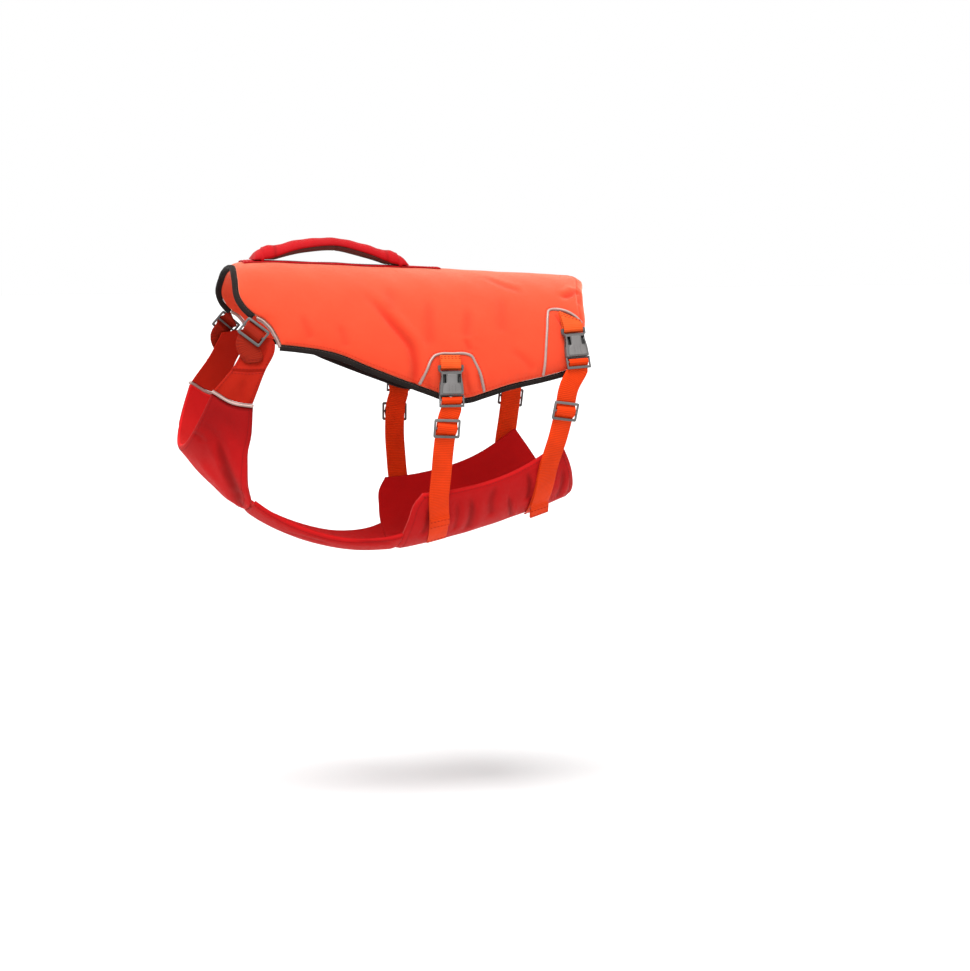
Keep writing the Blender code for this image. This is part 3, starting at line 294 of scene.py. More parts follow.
CHEST_FOLDS = [
    ([(-0.1690, 0.1990), (-0.1435, 0.2451), (-0.1265, 0.2850)], 4.4, -3.4, 0.0),
    ([(-0.1740, 0.2260), (-0.1452, 0.2674), (-0.1212, 0.3155)], 3.6, -1.6, 0.0),
    ([(-0.1570, 0.2180), (-0.1330, 0.2700), (-0.1210, 0.3120)], 3.0, 2.3, 0.0),
    ([(-0.1830, 0.1900), (-0.1740, 0.1925), (-0.1667, 0.1980), (-0.1508, 0.2252), (-0.1377, 0.2550),
      (-0.1233, 0.2918)], 3.6, 3.2, 1.6),
    ([(-0.1850, 0.2010), (-0.1760, 0.2030), (-0.1690, 0.2120)], 2.6, 1.4, 0.7),
    ([(-0.1610, 0.1790), (-0.1500, 0.2000), (-0.1452, 0.2128)], 3.5, 0.9, 0.4),
    ([(-0.1740, 0.1500), (-0.1650, 0.1640), (-0.1560, 0.1710)], 4.0, 1.0, 0.4),
    ([(-0.1480, 0.1380), (-0.1455, 0.1520), (-0.1470, 0.1660)], 3.0, 0.8, 0.4),
]
BELLY_FOLDS = [
    ([(0.0000, 0.2660), (0.0050, 0.2900), (0.0040, 0.3200)], 3.5, 1.8, 0.8),
    ([(0.0260, 0.2600), (0.0320, 0.2850), (0.0350, 0.3200)], 3.0, 1.4, 0.9),
    ([(0.0390, 0.2560), (0.0460, 0.2800), (0.0500, 0.3230)], 3.8, 2.6, 1.4),
    ([(0.0680, 0.2420), (0.0640, 0.2700), (0.0700, 0.2980)], 4.6, 1.6, 0.8),
    ([(0.0790, 0.2560), (0.0860, 0.2800), (0.0960, 0.3120)], 2.8, 2.4, 1.2),
    ([(0.0930, 0.2300), (0.1010, 0.2480), (0.1040, 0.2760)], 3.4, 2.2, 1.2),
    ([(0.1090, 0.2420), (0.1060, 0.2600), (0.1110, 0.2880)], 2.4, 1.3, 0.7),
    ([(0.1330, 0.2200), (0.1390, 0.2500), (0.1400, 0.2850)], 3.4, 1.8, 0.9),
    ([(0.1470, 0.2350), (0.1500, 0.2550), (0.1510, 0.2800)], 3.2, 1.2, 0.5),
]
STRIP_FOLDS = [
    ([(-0.1100, 0.3350), (-0.0850, 0.3300), (-0.0600, 0.3380)], 3.6, 1.2, 0.5),
    ([(-0.0600, 0.3200), (-0.0350, 0.3280), (-0.0180, 0.3260)], 3.6, 1.2, 0.5),
]
# the seam half way up a neck tab, where its lower cloth is sewn on
TAB_SEAM = [(-0.1790, 0.1318), (-0.1675, 0.1345), (-0.1538, 0.1372), (-0.1418, 0.1376), (-0.1330, 0.1370)]
TAB_FOLDS = [
    (TAB_SEAM, 1.2, 0.9, 0.5),
    ([(-0.1475, 0.1090), (-0.1455, 0.1180), (-0.1462, 0.1280)], 1.8, 0.8, 0.4),
    ([(-0.1560, 0.1420), (-0.1540, 0.1560), (-0.1500, 0.1700)], 2.6, 0.7, 0.3),
]
FOLD_REACH = 5  # half widths of its groove past which a fold leaves the cloth alone
FOLD_FADE = (0.4, 0.18)  # shares of a fold's length over which it sets in and dies away
FOLD_LIP = (1.9, 1.3)  # its lip's distance from it and width, in half widths of its groove
CHEST_SHADE = (0.172, 0.09)  # distance round up to which the chest's cloth has its deepest painted shade, and past it
# soft unevenness: waves by key and by distance round, per metre, and their phases
WANDER_WAVES = ((31, 17, 0.4), (-23, 37, 1.9), (57, -29, 3.1), (71, 61, 5.2), (-97, 83, 0.9))
WANDER_PACE = 1.7  # how much closer together all of them lie
WANDERS = (0.35, 0.3, 0.2)  # of the saddle, the lower panels and the neck tabs, in mm
# height of the saddle's puckers at its lower edges, of the waves at its hem and of the hem's stitched line
PUCKERS, HEM_WAVES, HEM_LINE = in_mm(0.28, 0.35, -0.45)
# how far in they reach
PUCKER_REACH, HEM_WAVE_REACH, HEM_LINE_REACH = in_mm(10, 16, 1.2)
EDGE_EASE = in_mm(2, 20)  # from the lower edge to where puckers and unevenness set in
OTHER_SIDE = (0.985, 0.0015)  # scale and shift of the key of the right side's folds
TAB_WAVES = 0.35 * MM

CLUSTERING = 0.55  # from 0 for points that are evenly spread to 1 for points that crowd at a cloth's edges
CLOTH_THICK = 0.6 * MM  # at least, in a fold
STITCH_SEED = 7
STITCH_LIFT = 0.1 * MM  # height of a stitch's middle over cloth
TAPE_STITCH_LIFT = 0.08 * MM  # and over webbing or tape


# ---------------------------------------------------------------- settings


def colour_property(name, description, default):
    return FloatVectorProperty(
        name=name, description=description, subtype="COLOR", size=3, min=0, max=1, default=default
    )


def length_property(name, description, default):
    return FloatProperty(name=name, description=description, unit="LENGTH", min=0.0001, default=default)


def strength_property(name, description, default):
    return FloatProperty(name=name, description=description, min=0, default=default)


class JacketColours(bpy.types.PropertyGroup):
    """Colours of the jacket's cloth, webbing, trim and plastic."""

    shell: colour_property("Shell", "Woven cloth of the saddle", (0.66, 0.050, 0.017))
    chest: colour_property("Chest and belly", "Stretch cloth of the lower panels", (0.50, 0.006, 0.007))
    tab: colour_property("Neck tabs", "Cloth of the two neck tabs", (0.335, 0.009, 0.0015))
    webbing: colour_property("Belly webbing", "The four belly straps", (0.66, 0.038, 0.002))
    # the straps' webbing painted lighter, as the loops face the light from above
    loop: colour_property("Loop webbing", "Loops that hold the buckles to the saddle", (0.66, 0.074, 0.012))
    # darker than the belly webbing: partly a redder webbing, partly painted shade
    neck: colour_property("Neck webbing", "Webbing at the two shoulders", (0.23, 0.010, 0.002))
    binding: colour_property("Binding", "Ribbed tape over the saddle's edges", (0.013, 0.009, 0.008))
    piping: colour_property("Piping", "Reflective piping", (0.31, 0.205, 0.182))
    plastic: colour_property("Buckles", "Moulded buckles, glides and sliders", (0.126, 0.118, 0.115))
    handle: colour_property("Handle", "Grip cover and its tape", (0.36, 0.003, 0.006))
    lining: colour_property("Handle lining", "Soft lining under the grip", (0.085, 0.030, 0.026))
    thread: colour_property("Thread", "Sewing thread on the orange cloth", (0.55, 0.030, 0.010))
    red_thread: colour_property("Red thread", "Sewing thread on the red cloth", (0.20, 0.004, 0.005))
    dark_thread: colour_property("Dark thread", "Sewing thread on the binding", (0.050, 0.038, 0.036))


class JacketSizes(bpy.types.PropertyGroup):
    """Sizes of the jacket's cloth, webbing and stitches."""

    cloth_step: length_property("Cloth step", "Distance between two points of a cloth face", 1.35 * MM)
    fold_depth: FloatProperty(
        name="Fold depth", description="Scales the depth of every fold", min=0, max=2, default=1.0
    )
    web_width: length_property("Webbing width", "Width of the webbing", 20 * MM)
    web_thick: length_property("Webbing thickness", "Thickness of the webbing", 1.3 * MM)
    stitch_pitch: length_property("Stitch pitch", "Distance from one stitch to the next", 3.2 * MM)
    stitch_length: length_property("Stitch length", "Length of one stitch", 2.3 * MM)
    thread_width: length_property("Thread width", "Width of the sewing thread", 0.55 * MM)
    rib_count: IntProperty(name="Buckle ribs", description="Ribs on a buckle's face", min=0, max=9, default=3)


class JacketStage(bpy.types.PropertyGroup):
    """The floor and the light round the jacket."""

    floor_height: FloatProperty(
        name="Floor height", description="Height of the floor under the origin", unit="LENGTH", default=-0.53
    )
    floor_colour: colour_property("Floor", "Colour of the floor", (0.62, 0.62, 0.62))
    top_light: strength_property("Top light", "Strength of the soft light from above", 4.4)
    sky: strength_property("Sky", "Strength of the even light from all round", 1.0)


# ---------------------------------------------------------------- places on the body


def smooth(rows, at):
    """The other columns of a table at these values of its first one, on a smooth curve through its rows."""
    rows = np.asarray(rows, float)
    keys, values = rows[:, 0], rows[:, 1:]
    at = np.clip(np.asarray(at, float), keys[0], keys[-1])
    i = np.clip(np.searchsorted(keys, at, side="right") - 1, 0, len(keys) - 2)
    slopes = np.gradient(values, keys, axis=0)
    step = (keys[i + 1] - keys[i])[..., None]
    u = (at - keys[i])[..., None] / step
    return (
        (2 * u**3 - 3 * u**2 + 1) * values[i]
        + (u**3 - 2 * u**2 + u) * step * slopes[i]
        + (3 * u**2 - 2 * u**3) * values[i + 1]
        + (u**3 - u**2) * step * slopes[i + 1]
    )


def mix(a, b, share):
    return a + (b - a) * share


def unit(vectors):
    return vectors / np.linalg.norm(vectors, axis=-1, keepdims=True)


def curve_at(rows, at):
    return smooth(rows, at)[..., 0]


def curve_over(rows, share):
    """A table's second column at this share of the way from its first row to its last."""
    return curve_at(rows, mix(rows[0][0], rows[-1][0], share))


def running_lengths(points):
    steps = np.linalg.norm(np.diff(points, axis=0), axis=1)
    return np.concatenate([[0], np.cumsum(steps)])


def even_rows(rows, step, count=None):
    """Rows on a smooth curve through these, about a step apart by their first two columns."""
    rows = np.array(rows, float)
    lengths = running_lengths(rows[:, :2])
    count = count or max(round(lengths[-1] / step), 2) + 1
    return smooth(np.column_stack([lengths, rows]), np.linspace(0, lengths[-1], count))


class BodyForm:
    """The body as a dense table of points, by key and by distance round."""

    def __init__(self):
        self.first = BODY[0][0]
        count = round((BODY[-1][0] - self.first) / TABLE_STEP) + 1
        self.keys = self.first + TABLE_STEP * np.arange(count)
        turn = np.linspace(0, math.pi, RING_SAMPLES)
        up = np.cos(turn)
        power = np.where(up >= 0, 2 / ROUND_TOP, 2 / ROUND_LOW)
        rise, reach = np.abs(up) ** power, np.abs(np.sin(turn)) ** power
        rings = []
        for key in self.keys:
            top_z, low_y, low_z, half_width, widest = smooth(BODY, key)
            depth = np.where(up >= 0, widest * (1 - rise), widest + (1 - widest) * rise)
            ring = [half_width * reach, key + (low_y - key) * depth, top_z + (low_z - top_z) * depth]
            rings.append(np.stack(ring, axis=1))
        lengths = [running_lengths(ring) for ring in rings]
        self.girths = np.array([length[-1] for length in lengths])
        across = round((self.girths.max() + 2 * TABLE_SPARE) / TABLE_STEP) + 2
        distance = TABLE_STEP * np.arange(across) - TABLE_SPARE
        self.table = np.zeros((count, across, 3))
        for rows, ring, length in zip(self.table, rings, lengths):
            girth = length[-1]
            folded = girth - np.abs(girth - np.abs(distance))
            for axis in range(3):
                rows[:, axis] = np.interp(folded, length, ring[:, axis])
            rows[(distance < 0) | (distance > girth), 0] *= -1

    def half_girth(self, key):
        return np.interp(key, self.keys, self.girths)

    def surface(self, key, along):
        key, along = np.broadcast_arrays(np.asarray(key, float), np.asarray(along, float))
        girth = self.half_girth(key)
        along = (along + girth) % (2 * girth) - girth
        row = np.clip((key - self.first) / TABLE_STEP, 0, len(self.keys) - 1.001)
        column = np.clip((np.abs(along) + TABLE_SPARE) / TABLE_STEP, 0, self.table.shape[1] - 1.001)
        i, j = row.astype(int), column.astype(int)
        s, t = (row - i)[..., None], (column - j)[..., None]
        near = self.table[i, j] * (1 - t) + self.table[i, j + 1] * t
        far = self.table[i + 1, j] * (1 - t) + self.table[i + 1, j + 1] * t
        points = near * (1 - s) + far * s
        points[..., 0] *= np.where(along < 0, -1, 1)
        return points

    def outward(self, key, along):
        round_ring = self.surface(key, along + NORMAL_STEP) - self.surface(key, along - NORMAL_STEP)
        to_rear = self.surface(key + NORMAL_STEP, along) - self.surface(key - NORMAL_STEP, along)
        return unit(np.cross(round_ring, to_rear))

    def on_body(self, key, along, out=0.0):
        out = np.asarray(out, float)
        return self.surface(key, along) + self.outward(key, along) * out[..., None]

    def path(self, key, along, out=0.0):
        """Points over the body, and the directions out."""
        return self.on_body(key, along, out), self.outward(key, along)


body = BodyForm()


def rolled(distance, thick, edge_thick, roll):
    """Padding's thickness this far from its nearest edge: a quarter round down to the edge."""
    inside = 1 - np.clip(distance / roll, 0, 1)
    return edge_thick + (thick - edge_thick) * np.sqrt(1 - inside**2)


def nearest(*distances):
    """The smallest of these distances, rounded where two of them meet."""
    total = sum((np.maximum(distance, 1e-5) / MM) ** -5.0 for distance in distances)
    return MM * total**-0.2


def saddle_place(u, v):
    """u runs from the neck edge to the rear hem, v from the right lower edge (-1) to the left one (1)."""
    share = np.abs(v)
    key = mix(curve_at(SADDLE_NECK_EDGE, share), curve_at(SADDLE_REAR_HEM, share), u)
    return key, v * curve_over(SADDLE_LOWER_EDGE, u)


def saddle_padding(u, v):
    length = curve_at(SADDLE_REAR_HEM, np.abs(v)) - curve_at(SADDLE_NECK_EDGE, np.abs(v))
    depth = curve_over(SADDLE_LOWER_EDGE, u)
    distance = nearest(u * length, HEM_FULLNESS * (1 - u) * length, (1 - np.abs(v)) * depth)
    return rolled(distance, *SADDLE_PADDING)


def saddle_share(key, along):
    """(u, v) of a place on the saddle."""
    u = v = np.full(np.shape(key), 0.5)
    for _ in range(8):
        v = np.clip(np.abs(along) / curve_over(SADDLE_LOWER_EDGE, u), 0, 1)
        front = curve_at(SADDLE_NECK_EDGE, v)
        u = np.clip((key - front) / (curve_at(SADDLE_REAR_HEM, v) - front), 0, 1)
    return u, v


def saddle_top(key, along):
    """Height of the saddle's face over the body, folds included."""
    key, along = np.broadcast_arrays(np.asarray(key, float), np.asarray(along, float))
    return saddle_padding(*saddle_share(key, along)) + saddle_relief(key, along)[0]


def bib_place(u, v):
    """u runs from the neck edge to the armhole, v from the right top edge (-1) to the left one (1)."""
    share = np.abs(v)
    key = mix(curve_at(BIB_NECK_EDGE, share), curve_at(BIB_ARMHOLE, share), u)
    return key, body.half_girth(key) - v * (curve_over(BIB_TOP, u) - SEAM_HALF)


def belly_place(u, v):
    share = np.abs(v)
    key = mix(curve_at(BELLY_FRONT_EDGE, share), curve_at(BELLY_REAR_EDGE, share), u)
    return key, body.half_girth(key) - v * curve_at(BELLY_SIDE_EDGE, u)


def strip_place(u, v):
    key = mix(BIB_ARMHOLE[0][1] + GAP, BELLY_FRONT_EDGE[0][1] - GAP, u) + 0 * v
    return key, body.half_girth(key) - v * curve_at(STRIP_HALF_WIDTH, u)


def pad_padding(place):
    """A padded panel's thickness, from its distance to its nearest edge."""

    def padding(u, v):
        here = body.surface(*place(u, v))
        edges = (place(0 * u, v), place(0 * u + 1, v), place(u, 0 * v + 1), place(u, 0 * v - 1))
        distances = [np.linalg.norm(body.surface(*edge) - here, axis=-1) for edge in edges]
        return rolled(nearest(*distances), *PAD_PADDING)

    return padding


def tab_place(side):
    """u runs from the tab's front edge to its rear one, v from the bib's piping up to its top."""

    def place(u, v):
        front, rear = np.moveaxis(smooth(TAB_ROWS, v), -1, 0)
        seam_key = mix(*TAB_ROWS[0][1:], u)
        seam = body.half_girth(seam_key) - curve_at(BIB_TOP, seam_key) - SEAM_HALF
        return mix(front, rear, u), side * mix(seam, mix(*TAB_TOP, u), v)

    return place


def tab_padding(u, v):
    edge = np.minimum(np.minimum(u, 1 - u) * TAB_SPAN, (1 - v) * TAB_SPAN)
    return TAB_UNDER + rolled(edge, *TAB_PADDING)


# ---------------------------------------------------------------- folds and soft unevenness


def ease(share):
    share = np.clip(share, 0, 1)
    return share * share * (3 - 2 * share)


def bump(offset, half_width):
    """1 at no offset, dying away on both sides."""
    return np.exp(-((offset / half_width) ** 2))


def fold_relief(key, along, folds):
    """How far folds move the cloth out, and how much shade to paint in their grooves, from 0 to 1."""
    offset, painted_cloth_shade = np.zeros(np.shape(key)), np.zeros(np.shape(key))
    for places, width, depth, lip in folds:
        fine = even_rows(places, 0, 4 * len(places))
        spare = FOLD_REACH * width * MM
        low, high = fine.min(axis=0) - spare, fine.max(axis=0) + spare
        near = (key > low[0]) & (key < high[0]) & (along > low[1]) & (along < high[1])
        k, a = key[near], along[near]
        best, side, share = np.full(k.shape, 1.0), np.zeros(k.shape), np.zeros(k.shape)
        for number, (start, end) in enumerate(zip(fine, fine[1:])):
            run = end - start
            t = np.clip(((k - start[0]) * run[0] + (a - start[1]) * run[1]) / (run @ run), 0, 1)
            dk, da = k - start[0] - t * run[0], a - start[1] - t * run[1]
            distance = np.hypot(dk, da)
            closer = distance < best
            best = np.where(closer, distance, best)
            side = np.where(closer, np.sign(run[0] * da - run[1] * dk), side)
            share = np.where(closer, (number + t) / (len(fine) - 1), share)
        fade = ease(share / FOLD_FADE[0]) * ease((1 - share) / FOLD_FADE[1])
        reach = best / (width * MM)
        trough = bump(reach, 1) * fade
        crest = bump(side * reach + FOLD_LIP[0], FOLD_LIP[1]) * fade
        offset[near] += MM * (lip * crest - depth * trough)
        # painted shade, strongest in a groove's trough
        painted_cloth_shade[near] = np.maximum(painted_cloth_shade[near], trough * min(abs(depth) / 2, 1) * (depth > 0))
    return offset, painted_cloth_shade


def unevenness(key, along, scale):
    """A soft wander of about this many millimetres either way, the same on every run."""
    pace = WANDER_PACE
    total = sum(np.sin(key * a * pace + along * b * pace + phase) for a, b, phase in WANDER_WAVES)
    return scale * MM * total / 3


def saddle_relief(key, along):
    """Folds, puckers along the lower edges, and the waves and the stitched line of the rear hem."""
    side = np.abs(along)
    shifted = np.where(along < 0, key * OTHER_SIDE[0] + OTHER_SIDE[1], key)
    offset, painted_cloth_shade = fold_relief(shifted, side, SADDLE_FOLDS)
    u, v = saddle_share(key, along)
    hem, low_edge = (1 - u) * SADDLE_SPAN[0], (1 - v) * SADDLE_SPAN[1]
    gathers = np.sin(key * 520 + 2.2 * np.sin(key * 83) + 1.3 * np.sin(side * 70))
    pucker = PUCKERS * gathers * bump(low_edge, PUCKER_REACH) * ease(low_edge / EDGE_EASE[0])
    hem_line = HEM_LINE * bump(hem - HEM_STITCHES, HEM_LINE_REACH)
    hem_waves = HEM_WAVES * np.sin(along * 260 + 1.5 * np.sin(along * 41)) * bump(hem, HEM_WAVE_REACH)
    wander = unevenness(key, along, WANDERS[0]) * ease(low_edge / EDGE_EASE[1])
    return sizes().fold_depth * (offset + pucker + hem_waves + wander) + hem_line, painted_cloth_shade


def pad_relief(folds, least):
    """Folds of a lower panel, with painted shade deepest towards the chest seam and at least this strong
    elsewhere.
    """

    def relief(key, along):
        girth = body.half_girth(key)
        folded = girth - np.abs(girth - np.where(along > 2 * girth, along - 2 * girth, along))
        offset, painted_cloth_shade = fold_relief(key, folded, folds)
        # painted shade, deepest near the chest seam
        painted_seam_shade = np.maximum(1 - ease((folded - CHEST_SHADE[0]) / CHEST_SHADE[1]), least)
        return sizes().fold_depth * (offset + unevenness(key, folded, WANDERS[1])), np.maximum(painted_cloth_shade, painted_seam_shade)

    return relief


def tab_relief(key, along):
    side = np.abs(along)
    offset, painted_cloth_shade = fold_relief(key, side, TAB_FOLDS)
    rise = TAB_WAVES * np.sin(key * 310 + side * 95) + unevenness(key, along, WANDERS[2])
    return sizes().fold_depth * offset + rise, painted_cloth_shade


# ---------------------------------------------------------------- meshes


def solid(points, quads, quad_uvs, others, other_uvs):
    """A closed mesh from quads and a few other faces, turned out, with a UV map in metres for its weave."""
    centre = points.mean(axis=0)
    a, b, c, d = (points[quads[:, corner]] - centre for corner in range(4))
    volume = (np.cross(a, b) * c).sum() + (np.cross(a, c) * d).sum()
    if volume < 0:
        quads, quad_uvs = quads[:, ::-1], quad_uvs[:, ::-1]
        others = [face[::-1] for face in others]
        other_uvs = [uvs[::-1] for uvs in other_uvs]
    mesh = bpy.data.meshes.new("piece")
    mesh.from_pydata(points.tolist(), [], quads.tolist() + others)
    uvs = np.concatenate([quad_uvs.reshape(-1, 2), *other_uvs])
    mesh.uv_layers.new(name="cloth").data.foreach_set("uv", uvs.astype(np.float32).ravel())
    mesh.validate()
    mesh.shade_smooth()
    return mesh


def grid_quads(rows, columns, start=0):
    i, j = np.meshgrid(np.arange(rows - 1), np.arange(columns - 1), indexing="ij")
    corner = (start + i * columns + j).ravel()
    return np.stack([corner, corner + 1, corner + columns + 1, corner + columns], axis=1)


def wall(outer, inner, uv, stride=1):
    """A closed wall between a fine outer grid and an inner grid that takes every stride-th point."""
    rows, columns = outer.shape[:2]
    inner_rows, inner_columns = inner.shape[:2]
    under = rows * columns
    points = np.concatenate([outer.reshape(-1, 3), inner.reshape(-1, 3)])
    uv = np.concatenate([uv.reshape(-1, 2), uv[::stride, ::stride].reshape(-1, 2)])
    inner_quads = grid_quads(inner_rows, inner_columns, under)[:, ::-1]
    quads = np.concatenate([grid_quads(rows, columns), inner_quads])
    rim = [(0, j) for j in range(inner_columns)]
    rim += [(i, inner_columns - 1) for i in range(1, inner_rows)]
    rim += [(inner_rows - 1, j) for j in range(inner_columns - 2, -1, -1)]
    rim += [(i, 0) for i in range(inner_rows - 2, 0, -1)]
    faces = []
    for (i, j), (k, m) in zip(rim, rim[1:] + rim[:1]):
        start = (i * columns + j) * stride
        step = int(np.sign(k - i)) * columns + int(np.sign(m - j))
        path = [start + number * step for number in range(stride, -1, -1)]
        faces.append([*path, under + i * inner_columns + j, under + k * inner_columns + m])
    return solid(points, quads, uv[quads], faces, [uv[face] for face in faces])


def sweep(rings, lengths):
    """A closed tube through rings of points; its UVs run round the ring and along the tube, in metres."""
    count, sides = rings.shape[:2]
    around = np.linalg.norm(np.roll(rings, -1, axis=1) - rings, axis=2).max(axis=0)
    around = np.concatenate([[0], np.cumsum(around)])
    i, k = (axis.ravel() for axis in np.meshgrid(np.arange(count - 1), np.arange(sides), indexing="ij"))
    here, following = i * sides + k, i * sides + (k + 1) % sides
    quads = np.stack([here, following, following + sides, here + sides], axis=1)
    u = np.stack([around[k], around[k + 1], around[k + 1], around[k]], axis=1)
    v = np.stack([lengths[i], lengths[i], lengths[i + 1], lengths[i + 1]], axis=1)
    last = (count - 1) * sides
    caps = [list(range(sides))[::-1], list(range(last, last + sides))]
    cap_uvs = [np.tile([around[1], along], (sides, 1)) for along in (lengths[0], lengths[-1])]
    return solid(rings.reshape(-1, 3), quads, np.stack([u, v], axis=2), caps, cap_uvs)


def beside_path(key, along, distance):
    """Places this far to the side of a path of places."""
    ahead = unit(np.stack([np.gradient(key), np.gradient(along)], axis=1))
    return key + ahead[:, 1] * distance, along - ahead[:, 0] * distance


def path_frames(points, normals):
    """Points of a path with the directions to its side and out."""
    ahead = unit(np.gradient(points, axis=0))
    return points, unit(np.cross(ahead, normals)), normals


def swept(frames, section):
    """A tube whose section rows are distance to the side and distance out, one set or one for each point."""
    points, sides, outs = frames
    section = np.broadcast_to(np.asarray(section, float), (len(points), *np.shape(section)[-2:]))
    rings = points[:, None] + sides[:, None] * section[..., :1] + outs[:, None] * section[..., 1:]
    return sweep(rings, running_lengths(points))


def store(mesh, name, values):
    """Keeps a number for each point of a mesh, for its material."""
    layer = mesh.attributes.get(name) or mesh.attributes.new(name, "FLOAT", "POINT")
    layer.data.foreach_set("value", np.asarray(values, np.float32))
    return mesh


def sizes():
    return bpy.context.scene.jacket_sizes


def linked(name, data):
    obj = bpy.data.objects.new(name, data)
    bpy.context.scene.collection.objects.link(obj)
    return obj


def baked(obj):
    """The mesh that an object's curve or modifiers make, in place of the object."""
    mesh = bpy.data.meshes.new_from_object(obj.evaluated_get(bpy.context.evaluated_depsgraph_get()))
    if not mesh.polygons:
        raise ValueError(f"{obj.name} came out empty")
    bpy.data.objects.remove(obj)
    return mesh


def place_piece(name, mesh, material, slot=None):
    """Puts a mesh in the scene; with a slot, it takes the place of the node that it's named after."""
    mesh.name = name
    mesh.materials.clear()
    mesh.materials.append(material)
    obj = linked(name, mesh)
    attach(obj, "root")
    if slot:
        node = name.rpartition("_")[0]
        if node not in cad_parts:
            raise ValueError(f"the frame has no node {node}")
        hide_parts(node)
    return obj


def clustered(count):
    """Numbers from 0 to 1 that lie closer together near both ends."""
    t = np.linspace(0, 1, count)
    return t - CLUSTERING * np.sin(2 * math.pi * t) / (2 * math.pi)


def panel(place, padding, relief, size, step, lift=0.0, stride=3, both=True):
    """A cloth wall on the body: place(u, v) says where, padding(u, v) how thick it is, relief its folds."""
    rows, columns = (stride * max(round(length / step / stride), 4) + 1 for length in size)
    across = clustered(columns)
    u, v = np.meshgrid(clustered(rows), 2 * across - 1 if both else across, indexing="ij")
    key, along = place(u, v)
    offset, painted_cloth_shade = relief(key, along)
    thick = np.maximum(padding(u, v) + offset, lift + CLOTH_THICK)
    coarse = (slice(None, None, stride), slice(None, None, stride))
    inner = body.on_body(key[coarse], along[coarse], np.full(key[coarse].shape, lift))
    mesh = wall(body.on_body(key, along, thick), inner, np.stack([along, key], axis=2), stride)
    # the fold attribute carries the painted shade to the cloth's material
    return store(mesh, "fold", np.concatenate([painted_cloth_shade.ravel(), 0 * painted_cloth_shade[coarse].ravel()]))


# ---------------------------------------------------------------- finishes


class Nodes:
    """A node tree in the making. A node that is given as a value stands for its first output."""

    def __init__(self, tree):
        self.tree = tree

    def add(self, kind, inputs=(), **settings):
        node = self.tree.nodes.new(kind)
        for setting, value in settings.items():
            setattr(node, setting, value)
        for socket, value in dict(inputs).items():
            self.give(node.inputs[socket], value)
        return node

    def give(self, socket, value):
        if isinstance(value, bpy.types.Node):
            value = value.outputs[0]
        if isinstance(value, bpy.types.NodeSocket):
            self.tree.links.new(value, socket)
        else:
            socket.default_value = value

    def maths(self, operation, *values):
        return self.add("ShaderNodeMath", enumerate(values), operation=operation)


class Finish(Nodes):
    """A material in the making."""

    def __init__(self, name, **shader):
        self.material = bpy.data.materials.new(name)
        self.material.use_nodes = True
        super().__init__(self.material.node_tree)
        self.shader = self.tree.nodes["Principled BSDF"]
        for socket, value in shader.items():
            self.shader.inputs[socket.replace("_", " ")].default_value = value

    def weave_axes(self):
        """The two distances of the piece's UV map, in metres."""
        split = self.add("ShaderNodeSeparateXYZ", {0: self.add("ShaderNodeUVMap", uv_map="cloth")})
        return split.outputs["X"], split.outputs["Y"]

    def wave(self, distance, period):
        """From 0 to 1 and back over each period."""
        turned = self.maths("MULTIPLY", distance, 2 * math.pi / period)
        return self.maths("MULTIPLY_ADD", self.maths("SINE", turned), 0.5, 0.5)

    def noise(self, scale, detail, roughness):
        place = self.add("ShaderNodeTexCoord").outputs["Object"]
        inputs = {"Vector": place, "Scale": scale, "Detail": detail, "Roughness": roughness}
        return self.add("ShaderNodeTexNoise", inputs)

    def spread(self, value, low=0.3, high=0.7, start=0.0, end=1.0):
        inputs = {"Value": value, "From Min": low, "From Max": high, "To Min": start, "To Max": end}
        return self.add("ShaderNodeMapRange", inputs)

    def blend(self, share, first, second):
        """A mix of two colours, each three numbers or a socket."""
        node = self.add("ShaderNodeMix", data_type="RGBA")
        for socket, value in zip((node.inputs[0], node.inputs[6], node.inputs[7]), (share, first, second)):
            self.give(socket, (*value, 1.0) if isinstance(value, tuple) else value)
        return node.outputs[2]

    def mottled(self, cloud, colour, less, more, low=0.3, high=0.7):
        return self.blend(self.spread(cloud, low, high), shade(colour, less), shade(colour, more))

    def stored(self, name):
        return self.add("ShaderNodeAttribute", attribute_name=name).outputs["Fac"]

    def relief(self, height, distance, strength, under=None):
        inputs = {"Height": height, "Distance": distance, "Strength": strength}
        if under is not None:
            inputs["Normal"] = under
        return self.add("ShaderNodeBump", inputs)

    def done(self, colour, normal=None, roughness=None):
        """The material, once its shader has these."""
        for name, value in (("Base Color", colour), ("Normal", normal), ("Roughness", roughness)):
            if value is not None:
                self.give(self.shader.inputs[name], value)
        return self.material


def shade(colour, factor):
    return tuple(min(max(part * factor, 0.0), 1.0) for part in colour)


def deepened(colour, most):
    """The colour painted as shade; in a fold it stands for light that has bounced off the same cloth. Most is
    left of its main part.
    """
    strongest = max(colour)
    return tuple(part * mix(0.36, most, part / strongest) for part in colour)


